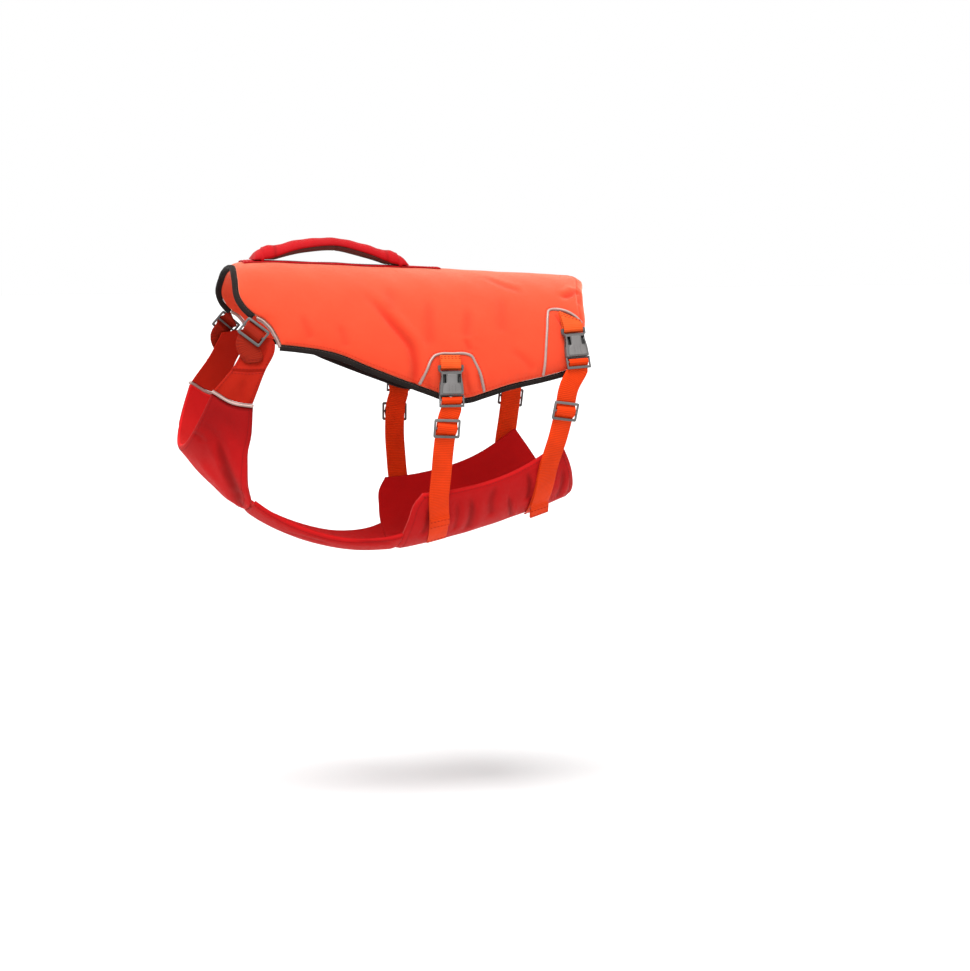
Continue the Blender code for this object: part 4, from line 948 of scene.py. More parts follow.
def woven_cloth(name, colour, thread, mottle, sheen, roughness, deep=0.74):
    """Plain woven cloth: crossing threads, faint mottling, and painted shade in its folds."""
    bloom = {"Sheen_Weight": sheen, "Sheen_Roughness": 0.4, "Sheen_Tint": (1.0, 0.74, 0.52, 1.0)}
    finish = Finish(name, Roughness=roughness, Specular_IOR_Level=0.08, **bloom)
    u, v = finish.weave_axes()
    warp, weft = finish.wave(u, thread), finish.wave(v, thread)
    crossing = finish.maths("ABSOLUTE", finish.maths("SUBTRACT", warp, weft))
    cloud, fine = finish.noise(22.0, 4.0, 0.6), finish.noise(320.0, 3.0, 0.65)
    base = finish.mottled(cloud, colour, 1 - mottle, 1 + mottle)
    threads = finish.blend(finish.maths("MULTIPLY", crossing, 0.22), base, shade(colour, 0.72))
    # painted shade, from the fold attribute
    fold = finish.maths("MULTIPLY", finish.stored("fold"), 0.9)
    soft = finish.relief(fine, 0.25 * MM, 0.5, finish.relief(cloud, 1.2 * MM, 0.5))
    return finish.done(
        finish.blend(fold, threads, deepened(colour, deep)),
        finish.relief(crossing, 0.12 * MM, 0.8, soft),
        finish.spread(fine, start=roughness - 0.06, end=roughness + 0.08),
    )


def ribbed_tape(name, colour, rib, row, sheen, roughness, light=1.15):
    """Webbing or tape: ribs across it and finer rows of thread along it, darker between them."""
    bloom = {"Sheen_Weight": sheen, "Sheen_Roughness": 0.3}
    finish = Finish(name, Roughness=roughness, Specular_IOR_Level=0.08, **bloom)
    u, v = finish.weave_axes()
    height = finish.maths("MULTIPLY_ADD", finish.wave(u, row), 0.45, finish.wave(v, rib))
    fuzz = finish.noise(420.0, 2.0, 0.7)
    base = finish.mottled(finish.noise(40.0, 3.0, 0.6), colour, 0.92, light)
    return finish.done(
        finish.blend(finish.spread(height, 0.1, 0.9, 0.6, 0.0), base, shade(colour, 0.5)),
        finish.relief(height, 0.22 * MM, 0.8, finish.relief(fuzz, 0.2 * MM, 0.4)),
        finish.spread(fuzz, start=roughness - 0.05, end=roughness + 0.08),
    )


def reflective_cloth(name, colour):
    """Reflective fabric over a cord: a fine bead grain with a metallic glint, scuffed here and there."""
    finish = Finish(name, Metallic=0.25, Roughness=0.4, Specular_IOR_Level=0.5)
    grain, cloud = finish.noise(1500.0, 2.0, 0.7), finish.noise(60.0, 3.0, 0.6)
    ribs = finish.wave(finish.weave_axes()[1], 1.1 * MM)
    base = finish.mottled(cloud, colour, 0.82, 1.12, 0.35, 0.65)
    return finish.done(
        finish.blend(finish.spread(grain, 0.35, 0.65, 0.0, 0.35), base, shade(colour, 1.5)),
        finish.relief(grain, 0.08 * MM, 0.6, finish.relief(ribs, 0.1 * MM, 0.4)),
        finish.spread(cloud, start=0.34, end=0.5),
    )


def moulded_plastic(name, colour):
    """Satin acetal: a fine spark grain, slightly uneven gloss and faint flow marks, with painted shade on its
    walls, bars and hollows.
    """
    finish = Finish(name, Roughness=0.38, Specular_IOR_Level=0.5)
    grain, cloud = finish.noise(1800.0, 2.0, 0.6), finish.noise(90.0, 3.0, 0.55)
    greyer = tuple(mix(part, 0.5, 0.3) for part in colour)
    base = finish.blend(finish.spread(grain, end=0.25), finish.mottled(cloud, colour, 0.9, 1.12), greyer)
    return finish.done(
        # painted shade, from its stored attribute
        finish.blend(finish.stored("recess"), base, shade(colour, 0.12)),
        finish.relief(grain, 0.05 * MM, 0.5),
        finish.spread(cloud, start=0.32, end=0.44),
    )


def sewing_thread(name, colour):
    """Twisted sewing thread."""
    finish = Finish(name, Roughness=0.6, Specular_IOR_Level=0.1)
    strands = finish.noise(2600.0, 1.0, 0.5)
    return finish.done(finish.mottled(strands, colour, 0.8, 1.2), finish.relief(strands, 0.06 * MM, 0.6))


# setting with its colour: what makes it, its name and the maker's other numbers
FINISHES = {
    "shell": (woven_cloth, "shell cloth", 0.9 * MM, 0.06, 0.80, 0.62),
    "chest": (woven_cloth, "chest cloth", 0.7 * MM, 0.10, 0.03, 0.66, 0.45),
    "tab": (woven_cloth, "tab cloth", 0.7 * MM, 0.08, 0.03, 0.62),
    "handle": (woven_cloth, "handle cloth", 0.8 * MM, 0.10, 0.03, 0.55),
    "lining": (woven_cloth, "handle lining", 0.8 * MM, 0.12, 0.10, 0.80),
    "webbing": (ribbed_tape, "belly webbing", 1.8 * MM, 1.0 * MM, 0.0, 0.55),
    "loop": (ribbed_tape, "loop webbing", 1.8 * MM, 1.0 * MM, 0.0, 0.55),
    "neck": (ribbed_tape, "neck webbing", 1.5 * MM, 1.0 * MM, 0.0, 0.60),
    "binding": (ribbed_tape, "dark binding", 1.0 * MM, 2.2 * MM, 0.04, 0.72, 1.4),
    "piping": (reflective_cloth, "reflective piping"),
    "plastic": (moulded_plastic, "grey plastic"),
    "thread": (sewing_thread, "orange thread"),
    "red_thread": (sewing_thread, "red thread"),
    "dark_thread": (sewing_thread, "dark thread"),
}


def finishes():
    """Every finish, in the colours that are set."""
    colours = bpy.context.scene.jacket_colours
    return {
        key: bpy.data.materials.get(name) or make(name, tuple(getattr(colours, key)), *numbers)
        for key, (make, name, *numbers) in FINISHES.items()
    }


# ---------------------------------------------------------------- webbing


class Guide:
    """The line that a strap's webbing and hardware are measured from, over the body.

    Its rows are key, distance round and height in mm. Between two of them it may be straight, for a buckle.
    """

    def __init__(self, rows, side, buckle=None):
        self.side = side
        rows = np.array([(key, side * along, height * MM) for key, along, height in rows])
        if buckle is None:
            runs = [self.sampled(rows)]
        else:
            first, last = rows[buckle], rows[buckle + 1]
            count = max(round(np.linalg.norm(last[:2] - first[:2]) / GUIDE_STEP), 2) + 1
            shares = np.linspace(0, 1, count)[:, None]
            points = mix(body.on_body(*first), body.on_body(*last), shares)
            normal = body.outward(*mix(first, last, 0.5)[:2])
            straight = (points, np.broadcast_to(normal, (count, 3)), np.abs(mix(first, last, shares)[:, 1]))
            runs = [self.sampled(rows[: buckle + 1]), straight, self.sampled(rows[buckle + 1 :])]
        parts = [runs[0]] + [tuple(column[1:] for column in run) for run in runs[1:]]
        self.points, self.normals, self.alongs = (np.concatenate(column) for column in zip(*parts))
        self.lengths = running_lengths(self.points)
        self.tangents = np.gradient(self.points, axis=0)
        if buckle is not None:
            self.buckle = self.lengths[len(runs[0][0]) - 1]

    @staticmethod
    def sampled(rows):
        key, along, height = even_rows(rows, GUIDE_STEP).T
        return (*body.path(key, along, height), np.abs(along))

    def at_distance_round(self, along):
        """How far down the guide this distance round the body is."""
        return float(np.interp(along, self.alongs, self.lengths))

    def frames(self, down):
        """The guide's points this far down it, and the directions across it, down it and out."""
        down = np.asarray(down, float)
        point, normal, tangent = (
            np.stack([np.interp(down, self.lengths, column) for column in rows.T], axis=-1)
            for rows in (self.points, self.normals, self.tangents)
        )
        direction = unit(tangent)
        across = unit(np.cross(direction, normal))
        return point, across, direction, np.cross(across, direction)

    def matrix(self, down):
        point, across, direction, out = (Vector(vector) for vector in self.frames(down))
        return Matrix.Translation(point) @ Matrix((across, direction, out)).transposed().to_4x4()


def guided_straps(side):
    """The straps on one side: where they are, their settings and their guides."""
    return [(place, strap, Guide(strap["rows"], side, buckle=1)) for place, strap in STRAPS.items()]


def half_turn(start, turn, way):
    """Rows of distance and height round a bar, from under it to over it, bulging down (1) or up (-1)."""
    centre, height, radius = turn
    return [
        (start + centre + way * radius * math.cos(angle), height + radius * math.sin(angle))
        for angle in np.linspace(-math.pi / 2, math.pi / 2, TURN_STEPS + 1)
    ]


def eased_path(rows):
    """Rows of distance, height and slope, made fine and cut round at their corners."""
    rows = np.array([(*row, 0.0)[:3] for row in rows], float)
    path = [rows[0]]
    for row in rows[1:]:
        steps = max(math.ceil(np.abs(row[0] - path[-1][0]) / PATH_STEP), 1)
        last = path[-1]
        path += [mix(last, row, (number + 1) / steps) for number in range(steps)]
    path = np.array(path)
    for _ in range(2):
        quarter, rest = mix(path[:-1], path[1:], 0.25), mix(path[:-1], path[1:], 0.75)
        inner = np.stack([quarter, rest], axis=1).reshape(-1, 3)
        path = np.concatenate([path[:1], inner, path[-1:]])
    kept = [0]
    for number in range(1, len(path) - 1):
        before, after = path[number] - path[kept[-1]], path[number + 1] - path[number]
        length = math.hypot(*before[:2])
        crossed = abs(before[0] * after[1] - before[1] * after[0])
        turn = crossed / (length * math.hypot(*after[:2]) + 1e-12)
        if length > PATH_REACH or turn > PATH_TURN:
            kept.append(number)
    return path[[*kept, len(path) - 1]]


def webbing(guide, rows, rounded_end=0.0):
    """Webbing through rows of distance down the guide, height of its middle over it and slope across."""
    down, height, skew = eased_path(rows).T
    point, across, direction, out = guide.frames(down)
    points = point + out * height[:, None]
    sloped = across - direction * (skew * guide.side)[:, None]
    face = unit(np.cross(across, unit(np.gradient(points, axis=0))))
    half_thick = sizes().web_thick / 2
    straight = sizes().web_width / 2 - half_thick
    angles = np.linspace(-math.pi / 2, math.pi / 2, WEB_SECTION_ENDS + 1)
    right = [(straight + half_thick * math.cos(angle), half_thick * math.sin(angle)) for angle in angles]
    section = [*right, *((x, half_thick) for x in np.linspace(1, -1, 6)[1:-1] * straight)]
    section = np.array(section + [(-x, -z) for x, z in section])
    lengths = running_lengths(points)
    narrow = np.ones(len(points))
    if rounded_end:
        inside = 1 - np.clip((lengths[-1] - lengths) / rounded_end, 0, 1)
        narrow = mix(np.sqrt(np.maximum(1 - inside ** END_SHAPE[1], 0)), 1, END_SHAPE[0])
    sideways = sloped[:, None] * (section[:, 0] * narrow[:, None])[..., None]
    return sweep(points[:, None] + sideways + face[:, None] * section[:, 1:], lengths), lengths[-1]


def loop_rows(buckle, skew):
    """The loop that holds a socket: down over its bar, round it and back up beneath."""
    turn = half_turn(buckle, LOOP_TURN, 1)[::-1]
    start, over, under = LOOP_ENDS
    return [(start, over, skew), (buckle - 2 * MM, turn[0][1]), *turn, (start, under, skew)]


def over_bar(centre):
    """Rows of distance and height that go up through a glide, over its bar and down again."""
    near, far = BAR_ROWS
    rise = [(centre - far, WEB_MIDDLE), (centre - near, WEB_OVER)]
    return [*rise, (centre + near, WEB_OVER), (centre + far, WEB_MIDDLE)]


def strap_rows(strap, guide):
    """A strap from its sewn end up to the plug's bar, round it and down as the tail through the glide."""
    top, lift = guide.buckle, strap["tail_lift"]
    end = guide.at_distance_round(strap["tail_end"])
    under_plug, over_plug, below_plug = PLUG_WEB
    fold = WEB_MIDDLE + HEM_RISE
    return [
        (guide.lengths[-1], WEB_UNDER),
        (top + under_plug, WEB_UNDER),
        *half_turn(top, PLUG_TURN, -1),
        (top + over_plug, WEB_OVER),
        (top + below_plug, WEB_MIDDLE),
        *over_bar(top + strap["glide"]),
        (end - HEM_LENGTH - 4 * MM, WEB_MIDDLE + 0.1 * lift),
        (end - HEM_LENGTH, fold + 0.3 * lift),
        (end, fold + lift),
        (end + 0.8 * MM, fold - 0.8 * MM + lift),
        (end, fold - HEM_RISE + lift),
        (end - HEM_LENGTH + 2 * MM, WEB_MIDDLE + 0.35 * lift),
    ]


# ---------------------------------------------------------------- moulded hardware


def rounded_outline(corners, radius, steps):
    """A closed outline with its corners rounded to this radius, or less where there is less room."""
    corners = [Vector((x, y)) for x, y in corners]
    outline = []
    for number, corner in enumerate(corners):
        before, after = corners[number - 1] - corner, corners[(number + 1) % len(corners)] - corner
        reach = min(radius, 0.45 * before.length, 0.45 * after.length)
        start, end = corner + before.normalized() * reach, corner + after.normalized() * reach
        for t in (step / steps for step in range(steps + 1)):
            outline.append((1 - t) ** 2 * start + 2 * t * (1 - t) * corner + t * t * end)
    return outline


def mirrored_outline(half):
    """A closed outline from its right half, given from one end to the other."""
    return list(half) + [(-x, y) for x, y in reversed(half)]


def rectangle(half_width, start, end):
    return [(-half_width, start), (half_width, start), (half_width, end), (-half_width, end)]


@contextmanager
def edited(mesh):
    """The mesh's geometry to work on, put back into the mesh at the end."""
    work = bmesh.new()
    work.from_mesh(mesh)
    yield work
    work.to_mesh(mesh)
    work.free()


def plate(outlines, under, thick, bevel):
    """A plate with rounded edges, from a flat curve with holes."""
    curve = bpy.data.curves.new("plate", "CURVE")
    curve.dimensions = "2D"
    curve.fill_mode = "BOTH"
    curve.extrude = thick / 2 - bevel
    curve.bevel_depth = bevel
    curve.bevel_resolution = 2
    curve.offset = -bevel
    for outline in outlines:
        spline = curve.splines.new("POLY")
        spline.points.add(len(outline) - 1)
        for point, (x, y) in zip(spline.points, outline):
            point.co = (x, y, 0, 1)
        spline.use_cyclic_u = True
    mesh = baked(linked("plate", curve))
    with edited(mesh) as work:
        bmesh.ops.remove_doubles(work, verts=work.verts, dist=WELD)
        bmesh.ops.translate(work, verts=work.verts, vec=(0, 0, under + thick / 2))
        bmesh.ops.recalc_face_normals(work, faces=work.faces)
    return mesh


def coordinates(mesh):
    points = np.zeros(3 * len(mesh.vertices), np.float32)
    mesh.vertices.foreach_get("co", points)
    return points.reshape(-1, 3)


def recess(mesh):
    """How much painted shade each point of a mesh has, from 0 to 1."""
    values = np.zeros(len(mesh.vertices), np.float32)
    layer = mesh.attributes.get("recess")
    if layer:
        layer.data.foreach_get("value", values)
    return values


def shaded(mesh, below, amount):
    """Paints shade at least this strong on what lies under this height."""
    return store(mesh, "recess", np.maximum(recess(mesh), amount * (coordinates(mesh)[:, 2] < below)))


def joined(parts):
    """One mesh from (mesh, matrix) pairs, their painted shade included."""
    made = bpy.data.meshes.new("piece")
    with edited(made) as work:
        for mesh, matrix in parts:
            start = len(work.verts)
            work.from_mesh(mesh)
            work.verts.ensure_lookup_table()
            bmesh.ops.transform(work, matrix=matrix, verts=work.verts[start:])
    store(made, "recess", np.concatenate([recess(mesh) for mesh, _ in parts]))
    made.shade_smooth()
    made.set_sharp_from_angle(angle=math.radians(SHARP_ANGLE))
    return made


def cut_block(block, cuts):
    """The block less these boxes, each given as size and centre."""
    obj = linked("block", block)
    cutters = []
    for size, centre in cuts:
        box = bpy.data.meshes.new("cutter")
        with edited(box) as work:
            bmesh.ops.create_cube(work, size=1)
            bmesh.ops.scale(work, verts=work.verts, vec=size)
            bmesh.ops.translate(work, verts=work.verts, vec=centre)
        cutters.append(linked("cutter", box))
        modifier = obj.modifiers.new("cut", "BOOLEAN")
        modifier.object = cutters[-1]
        modifier.operation = "DIFFERENCE"
        modifier.solver = "MANIFOLD"
    mesh = baked(obj)
    for cutter in cutters:
        bpy.data.objects.remove(cutter)
    return mesh


def crowned(mesh):
    """Lets a socket's face fall away to its sides."""
    fall, reach, above = SOCKET_CROWN
    with edited(mesh) as work:
        for place in CROWN_CUTS:
            whole = [*work.verts, *work.edges, *work.faces]
            bmesh.ops.bisect_plane(work, geom=whole, plane_co=(place, 0, 0), plane_no=(1, 0, 0))
        for vert in work.verts:
            if vert.co.z > above:
                vert.co.z -= fall * (vert.co.x / reach) ** 2
    return mesh


def socket_mesh():
    """The socket: ears with a bar for the loop, a mouth for the plug and windows for its prongs."""
    half_slot, slot_start, slot_end = SOCKET_SLOT
    half_pocket, pocket_start, pocket_under, pocket_top = SOCKET_POCKET
    bar_under, bar_top = SOCKET_BAR
    near, far, top, end = SOCKET_FACE_WINDOWS
    length, face, wide = SOCKET_OUTLINE[-1][1], SOCKET_UNDER + SOCKET_THICK, 40 * MM
    reach = 2 * (slot_end - 0.5 * MM)
    pocket_height = pocket_top - pocket_under
    middle = pocket_under + pocket_height / 2
    window = SOCKET_WINDOW[1] - SOCKET_WINDOW[0]
    cuts = [
        ((wide, reach, wide), (0, 0, bar_top + wide / 2)),
        ((wide, reach, wide), (0, 0, bar_under - wide / 2)),
        ((2 * half_pocket, 2 * (length - pocket_start), pocket_height), (0, length, middle)),
        ((wide, window, pocket_height - 0.4 * MM), (0, SOCKET_WINDOW[0] + window / 2, middle)),
    ]
    for side in (-1, 1):
        cuts.append(((far - near, end - top, 4 * MM), (side * (near + far) / 2, (top + end) / 2, 7 * MM)))
    outline = rounded_outline(mirrored_outline(SOCKET_OUTLINE), 1.2 * MM, 3)
    slot = rounded_outline(rectangle(half_slot, slot_start, slot_end), 0.7 * MM, 3)
    block = crowned(cut_block(plate([outline, slot], SOCKET_UNDER, SOCKET_THICK, 0.9 * MM), cuts))
    outline = rounded_outline(mirrored_outline(SOCKET_SHIELD), 1.5 * MM, 3)
    shield = crowned(plate([outline], face - 0.5 * MM, 1.0 * MM, 0.35 * MM))
    # painted shade on the shield's lower rim; its top has none, so that it looks lit
    store(shield, "recess", SHIELD_SHADE * (coordinates(shield)[:, 2] < face - 0.1 * MM))
    # painted shade on the block: darkest inside the mouth, then at the bar, lighter over the rest
    x, y, z = coordinates(block).T
    inside = (np.abs(x) < half_pocket + 0.2 * MM) & (y > top - 0.2 * MM) & (np.abs(z - middle) < 1.5 * MM)
    outside = np.where(y < slot_end + 0.4 * MM, *SOCKET_SHADE)
    store(block, "recess", np.where(inside, MOUTH_SHADE, outside))
    return joined([(block, Matrix()), (shield, Matrix())])


def plug_mesh():
    """The plug: two prongs and a guide between them, and a frame with two bars for the strap."""
    half = [*reversed(PRONG_OUTLINE), (PLUG_HALF_WIDTH, PLUG_START), (PLUG_HALF_WIDTH, BUCKLE_LENGTH)]
    outer = rounded_outline(mirrored_outline(half), 0.5 * MM, 2)
    windows = [rounded_outline(rectangle(PLUG_HALF_WINDOW, *ends), 0.6 * MM, 3) for ends in PLUG_WINDOWS]
    mesh = plate([outer, *windows], PLATE_UNDER, PLATE_THICK, 0.3 * MM)
    x, y, z = coordinates(mesh).T
    between = np.abs(x) < PLUG_HALF_WINDOW + 0.2 * MM
    first_bar = between & (y > PLUG_START + 0.7 * MM) & (y < PLUG_START + 1.8 * MM)
    mesh.vertices.foreach_set("co", np.stack([x, y, z - 1.8 * MM * first_bar], axis=1).ravel())
    # painted shade: darkest behind the first bar, then on the last bar, lighter on the rest of the frame
    behind, last, elsewhere = PLUG_SHADE
    frame_shade = np.where(y > PLUG_WINDOWS[-1][1] - 0.3 * MM, last, elsewhere)
    return store(mesh, "recess", np.where(between & (y < PLUG_WINDOWS[0][0] + 0.3 * MM), behind, frame_shade))


def glide_mesh():
    """A glide: a frame with a bar across its middle."""
    end = GLIDE_HALF_LENGTH - GLIDE_END_BAR
    outer = rounded_outline(rectangle(GLIDE_HALF_WIDTH, -GLIDE_HALF_LENGTH, GLIDE_HALF_LENGTH), 2.2 * MM, 5)
    spans = ((GLIDE_HALF_BAR, end), (-end, -GLIDE_HALF_BAR))
    windows = [rounded_outline(rectangle(GLIDE_HALF_WINDOW, *span), 0.8 * MM, 3) for span in spans]
    mesh = plate([outer, *windows], PLATE_UNDER, PLATE_THICK, 0.6 * MM)
    # painted shade, stronger on the lower end bar
    return store(mesh, "recess", np.where(coordinates(mesh)[:, 1] > end, *GLIDE_SHADE))


# ---------------------------------------------------------------- node trees for repeated pieces

SOCKET_KINDS = {int: "Int", float: "Float", type(None): "Material"}


class Tree(Nodes):
    """A geometry tree in the making. Its inputs are given as numbers to set, or as None for a material."""

    def __init__(self, name, **inputs):
        super().__init__(bpy.data.node_groups.new(name, "GeometryNodeTree"))
        self.socket("Geometry", "INPUT", "Geometry")
        for label, value in inputs.items():
            socket = self.socket(label, "INPUT", SOCKET_KINDS[type(value)])
            if value is not None:
                socket.default_value = value
        self.socket("Geometry", "OUTPUT", "Geometry")
        self.given = self.add("NodeGroupInput").outputs

    def socket(self, label, way, kind):
        return self.tree.interface.new_socket(label, in_out=way, socket_type=f"NodeSocket{kind}")

    def repeated(self, points, piece, material, **placing):
        """The tree, once it lays this piece on these points."""
        placing |= {"Points": points, "Instance": piece}
        placed = self.add("GeometryNodeInstanceOnPoints", placing)
        real = self.add("GeometryNodeRealizeInstances", {"Geometry": placed})
        soft = self.add("GeometryNodeSetShadeSmooth", {"Geometry": real})
        painted = self.add("GeometryNodeSetMaterial", {"Geometry": soft, "Material": material})
        self.add("NodeGroupOutput", {0: painted})
        return self.tree


def stitch_tree(name):
    """Stitches along a path: thread lying in the cloth at even steps, turned along the path."""
    tree = Tree(name, Pitch=3 * MM, Length=2 * MM, Width=0.5 * MM, Seed=STITCH_SEED, Thread=None)
    given = tree.given
    curve = tree.add("GeometryNodeMeshToCurve", {"Mesh": given["Geometry"]})
    even = tree.add("GeometryNodeResampleCurve", {"Curve": curve, "Length": given["Pitch"]}, mode="LENGTH")
    align = "FunctionNodeAlignRotationToVector"
    along = tree.add(align, {"Vector": tree.add("GeometryNodeInputTangent")}, axis="X")
    up = tree.add("GeometryNodeInputNamedAttribute", {"Name": "up"}, data_type="FLOAT_VECTOR")
    upward = {"Rotation": along, "Vector": up.outputs["Attribute"]}
    facing = tree.add(align, upward, axis="Z", pivot_axis="X")
    limits = {"Min": (0.9, 0.9, 0.9), "Max": (1.06, 1.1, 1.1), "Seed": given["Seed"]}
    wander = tree.add("FunctionNodeRandomValue", limits, data_type="FLOAT_VECTOR")
    size = tree.add("ShaderNodeCombineXYZ", {0: given["Length"], 1: given["Width"], 2: given["Width"]})
    scale = tree.add("ShaderNodeVectorMath", {0: size, 1: wander}, operation="MULTIPLY")
    ball = tree.add("GeometryNodeMeshUVSphere", {"Segments": 6, "Rings": 5, "Radius": 0.5})
    lying = tree.add("GeometryNodeTransform", {"Geometry": ball, "Rotation": (0, math.pi / 2, 0)})
    return tree.repeated(even, lying, given["Thread"], Rotation=facing, Scale=scale)


def rib_tree(name):
    """Straight ribs side by side, each a half-sunk rounded bar along Y."""
    tree = Tree(name, Count=3, Pitch=2 * MM, Length=8 * MM, Width=0.8 * MM, Plastic=None)
    given = tree.given
    reach = tree.maths("MULTIPLY", tree.maths("SUBTRACT", given["Count"], 1.0), given["Pitch"])
    line = {
        "Count": given["Count"],
        "Start Location": tree.add("ShaderNodeCombineXYZ", {0: tree.maths("MULTIPLY", reach, -0.5)}),
        "Offset": tree.add("ShaderNodeCombineXYZ", {0: given["Pitch"]}),
    }
    ball = tree.add("GeometryNodeMeshUVSphere", {"Segments": 10, "Rings": 8, "Radius": 0.5})
    size = tree.add("ShaderNodeCombineXYZ", {0: given["Width"], 1: given["Length"], 2: given["Width"]})
    return tree.repeated(tree.add("GeometryNodeMeshLine", line), ball, given["Plastic"], Scale=size)


def through_tree(mesh, name, build, **values):
    """The plain mesh that a node tree makes from this one, its inputs set by name."""
    obj = linked(name, mesh)
    modifier = obj.modifiers.new(name, "NODES")
    modifier.node_group = bpy.data.node_groups.get(name) or build(name)
    for item in modifier.node_group.interface.items_tree:
        if item.in_out == "INPUT" and item.name in values:
            modifier[item.identifier] = values[item.name]
    return baked(obj)


def stitches(name, paths, material):
    """One piece with the stitches along these paths, each a pair of points and directions out."""
    points, outs = (np.concatenate(column) for column in zip(*paths))
    edges, start = [], 0
    for path, _ in paths:
        edges += [(number, number + 1) for number in range(start, start + len(path) - 1)]
        start += len(path)
    mesh = bpy.data.meshes.new("rows")
    mesh.from_pydata(points.tolist(), edges, [])
    up = mesh.attributes.new("up", "FLOAT_VECTOR", "POINT")
    up.data.foreach_set("vector", outs.astype(np.float32).ravel())
    size = {"Pitch": sizes().stitch_pitch, "Length": sizes().stitch_length, "Width": sizes().thread_width}
    made = through_tree(mesh, "Stitches", stitch_tree, Seed=STITCH_SEED, Thread=material, **size)
    return place_piece(name, made, material)


# ---------------------------------------------------------------- operators


class JacketOperator:
    """What every step of the jacket shares: it runs once, and raises when it can't finish."""

    bl_options = {"REGISTER", "UNDO"}

    def execute(self, context):
        self.build(finishes())
        return {"FINISHED"}


SIDES = ((1, "left"), (-1, "right"))


def pad_cloth(place, folds, least):
    return place, pad_padding(place), pad_relief(folds, least)


def tab_cloth(side):
    return tab_place(side), tab_padding, tab_relief


# painted shade: the strip and the belly panel get at least 0.3 of it all over
# node: its cloth, and about its length and width
PADS = {
    "chest_panel": (pad_cloth(bib_place, CHEST_FOLDS, 0.0), (0.065, 0.23)),
    "sternum_strip": (pad_cloth(strip_place, STRIP_FOLDS, 0.3), (0.11, 0.09)),
    "belly_panel": (pad_cloth(belly_place, BELLY_FOLDS, 0.3), (0.16, 0.21)),
}


class JACKET_OT_saddle(JacketOperator, bpy.types.Operator):
    """Build the padded saddle that lies over the back"""

    bl_idname = "jacket.saddle"
    bl_label = "Saddle"

    def build(self, finish):
        cloth = (saddle_place, saddle_padding, saddle_relief)
        mesh = panel(*cloth, SADDLE_CLOTH_SIZE, sizes().cloth_step)
        saddle = place_piece("saddle_cloth", mesh, finish["shell"], "orange_cloth")


class JACKET_OT_lower_panels(JacketOperator, bpy.types.Operator):
    """Build the chest panel, the strip between the forelegs and the belly panel"""

    bl_idname = "jacket.lower_panels"
    bl_label = "Chest and belly"

    def build(self, finish):
        for node, (cloth, size) in PADS.items():
            mesh = panel(*cloth, size, sizes().cloth_step)
            piece = place_piece(f"{node}_cloth", mesh, finish["chest"], "red_cloth")


class JACKET_OT_neck_tabs(JacketOperator, bpy.types.Operator):
    """Build the cloth tabs that join the chest panel to the neck webbing"""

    bl_idname = "jacket.neck_tabs"
    bl_label = "Neck tabs"

    def build(self, finish):
        step = sizes().cloth_step / 2
        for side, name in SIDES:
            mesh = panel(*tab_cloth(side), TAB_SIZE, step, lift=TAB_UNDER, stride=2, both=False)
            tab = place_piece(f"neck_tab_{name}_cloth", mesh, finish["tab"], "tab_cloth")


def binding_section():
    """Tape folded over an edge: flat against the edge, round at its nose."""
    near, far, high = GAP, GAP + BINDING_WIDTH, BINDING_HIGH
    nose = [
        (far - 2.3 * MM * (1 - math.cos(turn)), high / 2 + high / 2 * math.sin(turn))
        for turn in np.linspace(-math.pi / 2, math.pi / 2, 11)
    ]
    return np.array([(near, 0.0), *nose, (mix(near, far, 0.35), high + 0.12 * MM), (near, high - 0.1 * MM)])


def saddle_edge(places, side):
    points, sides, outs = path_frames(*body.path(*places))
    return points, sides * side, outs


def bound_edges(start, end, count, neck_count):
    """Places along the saddle's bound edges with their side, by name."""
    edges = {name: (saddle_place(np.linspace(start, end, count), side), side) for side, name in SIDES}
    shares = np.linspace(-NECK_BINDING_END, NECK_BINDING_END, neck_count)
    return edges | {"neck": (saddle_place(0 * shares, shares), 1)}


def lengthened(frames, start=0.0, end=0.0):
    """The path with a straight piece of this length added at its start or its end."""
    points, sides, outs = frames
    if start:
        points = np.concatenate([points[:1] - unit(points[1:2] - points[:1]) * start, points])
        sides, outs = (np.concatenate([rows[:1], rows]) for rows in (sides, outs))
    if end:
        points = np.concatenate([points, points[-1:] + unit(points[-1:] - points[-2:-1]) * end])
        sides, outs = (np.concatenate([rows, rows[-1:]]) for rows in (sides, outs))
    return points, sides, outs


class JACKET_OT_bindings(JacketOperator, bpy.types.Operator):
    """Build the ribbed tape over the saddle's lower edges and round the neck"""

    bl_idname = "jacket.bindings"
    bl_label = "Bindings"

    def build(self, finish):
        for name, (places, side) in bound_edges(0, 1, 211, 141).items():
            frames = saddle_edge(places, side)
            if name != "neck":
                frames = lengthened(frames, start=1.2 * MM)
            length = running_lengths(frames[0])
            swell = 1 + 0.035 * np.sin(length * 430 + 2 * np.sin(length * 90))
            rings = binding_section() * np.stack([np.ones_like(swell), swell], axis=1)[:, None]
            tape = place_piece(f"binding_{name}_tape", swept(frames, rings), finish["binding"], "dark_tape")


def bead(half_width, under, top, cord):
    """Section of piping: a round cord of this radius on its folded tape."""
    turns = np.linspace(-0.12 * math.pi, 1.12 * math.pi, 11)
    crown = [(cord * math.cos(turn), top - cord + cord * math.sin(turn)) for turn in turns]
    shoulder = max(top - 2 * cord, under + 0.1 * MM)
    right = [(half_width, under), (half_width, shoulder)]
    return np.array([*right, *crown, *((-x, z) for x, z in reversed(right))])


